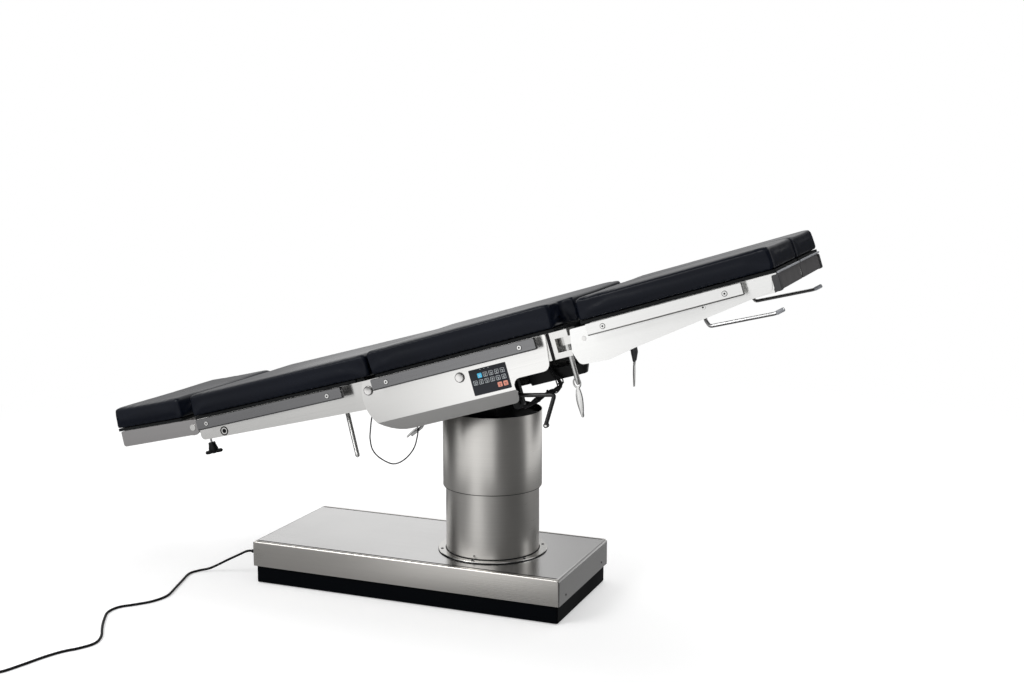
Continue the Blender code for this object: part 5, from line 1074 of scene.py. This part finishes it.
def make_column():
    """Smooth sleeves, the screwed ring at the column's foot with its lower edge dark as painted
    shade, and the wiper ring, which also stands for shade under the upper sleeve.
    """
    for node, body, rows in SLEEVES:
        shape = Shape(LEVEL)
        shape.hoop(rows)
        shape.piece(node + "_shell", [COLUMN, BLACK], body, "brushed_sheet", node)
    ring = Shape(LEVEL)
    ring.hoop(FLANGE_ROWS)
    ring.piece("column_foot_ring", [RING, RUBBER], "base", "brushed_sheet", "column_flange_ring")
    wiper = Shape(LEVEL)
    wiper.hoop(WIPER_SHADE_ROWS)
    wiper.piece("sleeve_wiper_shade", [RUBBER], "lift", "black_paint")


# Long side covers of the base
COVER_X = (-0.6554, 0.2694)
COVER_Y = 0.201
COVER_LOW_Z = 0.0519
COVER_HIGH_Z = 0.1243
COVER_BEND = 0.0045
COVER_LIP = 0.0102
COVER_SHEET = 0.002
COVER_END_BEND = 0.0078
SEAM_INNER_Y = 0.186


def cover_outline(top, side):
    """The cover's sheet across the base, from its foot up and over the bend."""
    places = [(COVER_Y, COVER_LOW_Z)]
    for cosine, sine in quarter(8):
        places.append((COVER_Y - COVER_BEND * (1.0 - cosine), top - COVER_BEND * (1.0 - sine)))
    places.append((COVER_Y - COVER_LIP, top))
    places.append((COVER_Y - COVER_LIP, top - COVER_SHEET))
    places.append((COVER_Y - COVER_BEND, top - COVER_SHEET))
    places.append((COVER_Y - COVER_SHEET, top - COVER_BEND))
    places.append((COVER_Y - COVER_SHEET, COVER_LOW_Z))
    return [(side * y, z) for y, z in places]


def make_base_covers():
    """The folded long sides of the base, and the dark seam behind each fold."""
    bend = COVER_END_BEND
    stations = [(bend * (1.0 - cosine), bend * (1.0 - sine)) for cosine, sine in quarter(6)]
    for word, side in (("front", -1.0), ("rear", 1.0)):
        shape = Shape(LEVEL)
        places = [(COVER_X[0] + inset, drop) for inset, drop in stations]
        places += [(COVER_X[1] - inset, drop) for inset, drop in reversed(stations)]
        rows = []
        for x, drop in places:
            outline = cover_outline(COVER_HIGH_Z - drop, side)
            rows.append(([(x, y, z) for y, z in outline], 0))
        shape.rings(rows)
        node = f"base_cover_{word}"
        shape.piece(node + "_sheet", [BASE_FRONT], "base", "brushed_sheet", node)
        seam = Shape(LEVEL)
        y = (side * (COVER_Y - COVER_LIP - 0.0004), side * SEAM_INNER_Y)
        outline = [(y[0], 0.1236), (y[0], 0.1246), (y[1], 0.1246), (y[1], 0.1236)]
        seam.rings([([(x, a, b) for a, b in outline], 0) for x in (-0.646, 0.26)])
        seam.piece(f"base_seam_{word}", [RUBBER], "base", "black_paint")


def make_small_parts():
    """Strips beside the clevises, clips on the back board, key sockets and the hook's blade."""
    for word, side in SIDES:
        strip = Shape(SEAT)
        low, high = (0.2712, -0.0532), (0.279, 0.0146)
        strip.prism(slab_rows(low, high, 0.001, (side * 0.2645, side * 0.2668), 0.0003))
        strip.piece(f"{word}_clevis_strip", [RUBBER], "seat", "black_paint")
        clips = Shape(BACK)
        for s in (-0.3803, -0.3127):
            low, high = (s - 0.0088, 0.0148), (s + 0.0088, 0.0215)
            clips.prism(slab_rows(low, high, 0.0015, (side * 0.268, side * 0.2716), 0.0008))
        clips.piece(f"{word}_board_clips", [RUBBER], "back", "black_paint")
        socket = Shape(BACK)
        profile = [
            (0.0, 0.0128), (0.005, 0.0128), (0.0054, 0.012), (0.0054, 0.0098, 1),
            (0.0044, 0.0094, 1), (0.0044, 0.0062), (0.0056, 0.0054), (0.0056, 0.0028, 1, 4),
            (0.004, 0.0024, 0, 4), (0.004, 0.0),
        ]
        socket.lathe((-0.7366, side * 0.2575, -0.0332), (0.0, side, 0.0), profile, 32)
        socket.piece(f"{word}_key_socket", [RUBBER, BACK_PLATE], "back", "black_paint")
    blade = Shape(SEAT)
    rows = [
        ((-0.1655, -0.234, -0.1405), 0.003, 0.0026, 0),
        ((-0.172, -0.2345, -0.1436), 0.0052, 0.003, 0),
        ((-0.185, -0.2345, -0.15), 0.0058, 0.003, 0),
        ((-0.196, -0.2345, -0.1562), 0.005, 0.003, 0),
        ((-0.2005, -0.2345, -0.16), 0.0026, 0.0024, 0),
    ]
    blade.flattened(rows)
    blade.piece("cable_hook_blade", [ROD_STEEL_BRIGHT], "seat", "chrome")


# Pads: the body each rides on, its section, and how far the cover may move
PAD_SHRINK = 0.0012
PAD_CAP = 0.0022
PAD_VOXEL = 0.006
PAD_PIN = 0.01
PAD_FRAMES = 20
PAD_CLOTH = {
    "quality": 4,
    "mass": 0.3,
    "tension_stiffness": 40.0,
    "compression_stiffness": 40.0,
    "shear_stiffness": 20.0,
    "bending_stiffness": 8.0,
    "vertex_group_mass": "held",
    "use_pressure": True,
    "uniform_pressure_force": 3.0,
}
PADS = (
    ("seat_pad", "seat", SEAT),
    ("back_pad", "back", BACK),
    ("head_pad", "head", HEAD),
    ("near_leg_pad", "near_leg", LEG),
    ("far_leg_pad", "far_leg", LEG),
)


def pad_copy(node):
    """A remeshed copy of a pad's solid, slightly smaller, as a new object."""
    mesh = NODES[node].data.copy()
    piece = placed(node + "_cover", mesh)
    mesh.materials.clear()
    mesh.materials.append(LEATHER)
    remesh = piece.modifiers.new("voxels", "REMESH")
    remesh.mode = "VOXEL"
    remesh.voxel_size = PAD_VOXEL
    apply_modifiers(piece)
    normals = [vert.normal.copy() for vert in piece.data.vertices]
    for vert, normal in zip(piece.data.vertices, normals):
        vert.co -= normal * PAD_SHRINK
    return piece


def apply_modifiers(piece):
    """Replaces the piece's mesh with what its modifiers make of it."""
    graph = bpy.context.evaluated_depsgraph_get()
    made = bpy.data.meshes.new_from_object(piece.evaluated_get(graph))
    old = piece.data
    piece.modifiers.clear()
    piece.data = made
    bpy.data.meshes.remove(old)


def swell(piece, section):
    """Blows the cover up a little with a cloth simulation, held down on its board."""
    mesh = piece.data
    heights = [(vert.co - section.origin).dot(section.up) for vert in mesh.vertices]
    floor = min(heights)
    rest = [vert.co.copy() for vert in mesh.vertices]
    group = piece.vertex_groups.new(name="held")
    held = [index for index, height in enumerate(heights) if height < floor + PAD_PIN]
    group.add(held, 1.0, "REPLACE")
    cloth = piece.modifiers.new("cloth", "CLOTH")
    for setting, value in PAD_CLOTH.items():
        setattr(cloth.settings, setting, value)
    cloth.settings.effector_weights.gravity = 0.0
    cloth.point_cache.frame_start = 1
    cloth.point_cache.frame_end = PAD_FRAMES
    for number in range(1, PAD_FRAMES + 1):
        bpy.context.scene.frame_set(number)
    apply_modifiers(piece)
    for vert, start in zip(piece.data.vertices, rest):
        moved = vert.co - start
        if moved.length > PAD_CAP:
            vert.co = start + moved.normalized() * PAD_CAP
    bpy.context.scene.frame_set(1)


def make_pad(node, body, section):
    """One cushion with its swollen cover."""
    piece = pad_copy(node)
    swell(piece, section)
    for face in piece.data.polygons:
        face.use_smooth = True
    smooth = piece.modifiers.new("even", "SMOOTH")
    smooth.iterations = 2
    finer = piece.modifiers.new("finer", "SUBSURF")
    finer.levels = 1
    finer.render_levels = 1
    apply_modifiers(piece)
    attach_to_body(piece, body)
    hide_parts(node)
    return piece


def make_pads():
    """All five cushions."""
    for node, body, section in PADS:
        piece = make_pad(node, body, section)
        if node == "back_pad":
            anchor = section.at(-0.82, 0.0, 0.0238)
            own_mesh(piece)


# Studio: lamps as (name, place, size, power), and then the floor and the world
LAMP_AIM = (0.0, 0.0, 0.6)
LAMPS = (
    ("key_lamp", (-2.2, -3.2, 3.4), (2.4, 1.6), 90.0),
    ("top_lamp", (0.6, 1.2, 3.6), (2.4, 2.4), 45.0),
)
FLOOR_COLOUR = (0.8, 0.8, 0.8, 1.0)
FLOOR_REACH = 14.0
FLOOR_Z = -0.0005
FLOOR_GLOW = 0.38
FLOOR_FADE = (1.7, 3.4)
AMBIENT = 0.62
WHITE = (1.0, 1.0, 1.0, 1.0)
CARD_FADE = (1.5, 3.9)
CARD_DARK = 0.24
CARD_SOFT_Z = 0.6

# Reflected cards: name, azimuth, distance, width, lower and upper edge, brightness,
# where the fade at the sides starts, and whether it lies on the floor
CARDS = (
    ("card_bright", -13.0, 1.9, 1.3, -0.2, 2.0, 1.2, 0.1, False),
    ("card_streak", -13.0, 1.3, 1.0, -0.95, 0.95, 0.95, 0.1, True),
    ("card_right", 65.0, 1.8, 3.4, -0.4, 2.0, 0.13, 0.65, False),
    ("card_shade", 75.0, 1.2, 1.7, -0.9, 0.9, 0.1, 0.4, True),
    ("card_left", -82.0, 2.2, 2.0, -0.4, 1.1, 0.14, 0.4, False),
    ("card_foot", 143.0, 2.04, 2.2, 0.35, 1.65, 0.04, 0.5, False),
    ("card_back", 180.0, 1.95, 2.3, 0.4, 1.2, 0.45, 0.3, False),
    ("card_head", 232.0, 3.1, 1.8, -0.5, 0.8, 0.3, 0.4, False),
)
CEILING_Z = 3.4
CEILING_FADE = (1.5, 2.6)


def seen_rays(tree):
    """1 for camera, glossy and transmission rays."""
    rays = add_node(tree, "LightPath").outputs
    seen = rays["Is Camera Ray"]
    for name in ("Is Glossy Ray", "Is Transmission Ray"):
        node = add_node(tree, "Math", {0: seen, 1: rays[name]}, operation="MAXIMUM")
        seen = node.outputs["Value"]
    return seen


def show_mix(tree, share, first, second, output="Material Output"):
    """Shows two shaders mixed; a share of 0 is all of the first."""
    mix = add_node(tree, "MixShader", {0: share, 1: first.outputs[0], 2: second.outputs[0]})
    tree.links.new(mix.outputs[0], tree.nodes[output].inputs["Surface"])


def make_world():
    """A white background over plain ambient light."""
    world = bpy.data.worlds.new("studio")
    bpy.context.scene.world = world
    world.use_nodes = True
    tree = world.node_tree
    plain = tree.nodes["Background"]
    plain.inputs["Color"].default_value = WHITE
    plain.inputs["Strength"].default_value = AMBIENT
    white = add_node(tree, "Background", {"Color": WHITE, "Strength": 1.0})
    show_mix(tree, seen_rays(tree), plain, white, "World Output")


def smooth_rise(tree, value, low, high):
    """A smooth rise from 0 at low to 1 at high."""
    inputs = {"Value": value, "From Min": low, "From Max": high}
    return add_node(tree, "MapRange", inputs, interpolation_type="SMOOTHSTEP").outputs["Result"]


def far_share(tree, near, far):
    """0 near the table, 1 beyond the far radius on the floor."""
    place = add_node(tree, "TexCoord").outputs["Object"]
    reach = add_node(tree, "VectorMath", {0: place}, operation="LENGTH").outputs["Value"]
    return smooth_rise(tree, reach, near, far)


def make_floor():
    """A pale floor that keeps the table's shadow and fades into the background."""
    bm = bmesh.new()
    bmesh.ops.create_grid(bm, x_segments=1, y_segments=1, size=FLOOR_REACH)
    material, tree = new_material("floor_pale")
    shader = tree.nodes["Principled BSDF"]
    shader.inputs["Base Color"].default_value = FLOOR_COLOUR
    shader.inputs["Roughness"].default_value = 0.9
    shader.inputs["Specular IOR Level"].default_value = 0.0
    seen = seen_rays(tree)
    scale = add_node(tree, "Math", {0: seen, 1: FLOOR_GLOW}, operation="MULTIPLY")
    glow = add_node(tree, "Emission", {"Strength": scale.outputs["Value"]})
    both = add_node(tree, "AddShader", {0: shader.outputs[0], 1: glow.outputs[0]})
    level = add_node(tree, "MapRange", {"Value": seen, "To Min": AMBIENT})
    white = add_node(tree, "Emission", {"Strength": level.outputs["Result"]})
    show_mix(tree, far_share(tree, *FLOOR_FADE), both, white)
    floor = link_mesh("studio_floor", bm, material, False)
    floor.location.z = FLOOR_Z


def lamp(name, place, size, power):
    """A soft rectangular lamp that looks at the table."""
    data = bpy.data.lights.new(name, "AREA")
    data.shape = "RECTANGLE"
    data.size, data.size_y = size
    data.energy = power
    light = placed(name, data)
    light.location = place
    aim = Vector(LAMP_AIM) - Vector(place)
    light.rotation_euler = aim.to_track_quat("-Z", "Y").to_euler()


def card_only(card):
    """Shows a studio card in reflections alone."""
    card.visible_camera = False
    card.visible_diffuse = False
    card.visible_shadow = False
    card.visible_transmission = False


def glow_material(name, grey):
    """A material of one even brightness, with its tree and glow node."""
    material, tree = new_material(name)
    glow = add_node(tree, "Emission", {"Strength": grey})
    tree.links.new(glow.outputs[0], tree.nodes["Material Output"].inputs["Surface"])
    return material, tree, glow


def round_card(name, material, segments, radius, height):
    """A level disc that only shows in reflections."""
    bm = bmesh.new()
    bmesh.ops.create_circle(bm, cap_ends=True, segments=segments, radius=radius)
    card = link_mesh(name, bm, material, False)
    card.location.z = height
    card_only(card)


def make_floor_card():
    """The dark mat under and round the table, which fades out."""
    material, tree, glow = glow_material("card_floor", CARD_DARK)
    level = add_node(tree, "MapRange", {"Value": far_share(tree, *CARD_FADE), "To Min": CARD_DARK})
    tree.links.new(level.outputs["Result"], glow.inputs["Strength"])
    round_card("card_floor", material, 64, CARD_FADE[1], 0.0)


def make_ceiling_card():
    """The studio's dark ceiling, which fades out at its rim."""
    material, tree, glow = glow_material("card_ceiling", CARD_DARK)
    show_mix(tree, far_share(tree, *CEILING_FADE), glow, add_node(tree, "BsdfTransparent"))
    round_card("card_ceiling", material, 48, CEILING_FADE[1], CEILING_Z)


def soft_edges(tree, glow, soft):
    """Lets a card fade out towards its sides; soft is where the fade starts."""
    place = add_node(tree, "TexCoord").outputs["Object"]
    axes = add_node(tree, "SeparateXYZ", {"Vector": place}).outputs
    shares = []
    for axis, start in (("X", soft), ("Z", CARD_SOFT_Z)):
        reach = add_node(tree, "Math", {0: axes[axis]}, operation="ABSOLUTE").outputs["Value"]
        shares.append(smooth_rise(tree, reach, 1.0, start))
    share = add_node(tree, "Math", dict(enumerate(shares)), operation="MULTIPLY")
    show_mix(tree, share.outputs["Value"], add_node(tree, "BsdfTransparent"), glow)


def make_card(name, middle, facing, width, low, high, grey, soft, lying):
    """A studio card with soft edges that only shows in reflections, upright or on the floor."""
    bm = bmesh.new()
    corners = ((-1.0, 0.0, -1.0), (1.0, 0.0, -1.0), (1.0, 0.0, 1.0), (-1.0, 0.0, 1.0))
    bm.faces.new([bm.verts.new(corner) for corner in corners])
    material, tree, glow = glow_material(name, grey)
    soft_edges(tree, glow, soft)
    card = link_mesh(name, bm, material, False)
    card.location = (middle[0], middle[1], 0.001 if lying else (low + high) / 2)
    card.scale = (width / 2, 1.0, (high - low) / 2)
    card.rotation_euler = (radians(90.0 if lying else 0.0), 0.0, radians(facing))
    card_only(card)


def around(azimuth, distance):
    """A place round the column; azimuth 0 is in front of the near side."""
    turn = radians(azimuth)
    return (sin(turn) * distance, -cos(turn) * distance)


def make_studio():
    """Floor, background, lamps and reflected cards."""
    make_world()
    make_floor()
    for row in LAMPS:
        lamp(*row)
    make_floor_card()
    make_ceiling_card()
    for name, azimuth, distance, *rest in CARDS:
        make_card(name, around(azimuth, distance), azimuth, *rest)


bpy.context.scene.view_settings.view_transform = "Standard"
make_camera()
make_cord()
make_studio()
finish_nodes()
make_rails()
make_trim_bolts()
make_panel()
make_clamp_levers()
make_crank()
make_lock_knobs()
make_release_rod()
make_fittings()
make_leg_ends()
make_wires()
make_cable_loop()
make_column()
make_base_covers()
make_small_parts()
make_pads()
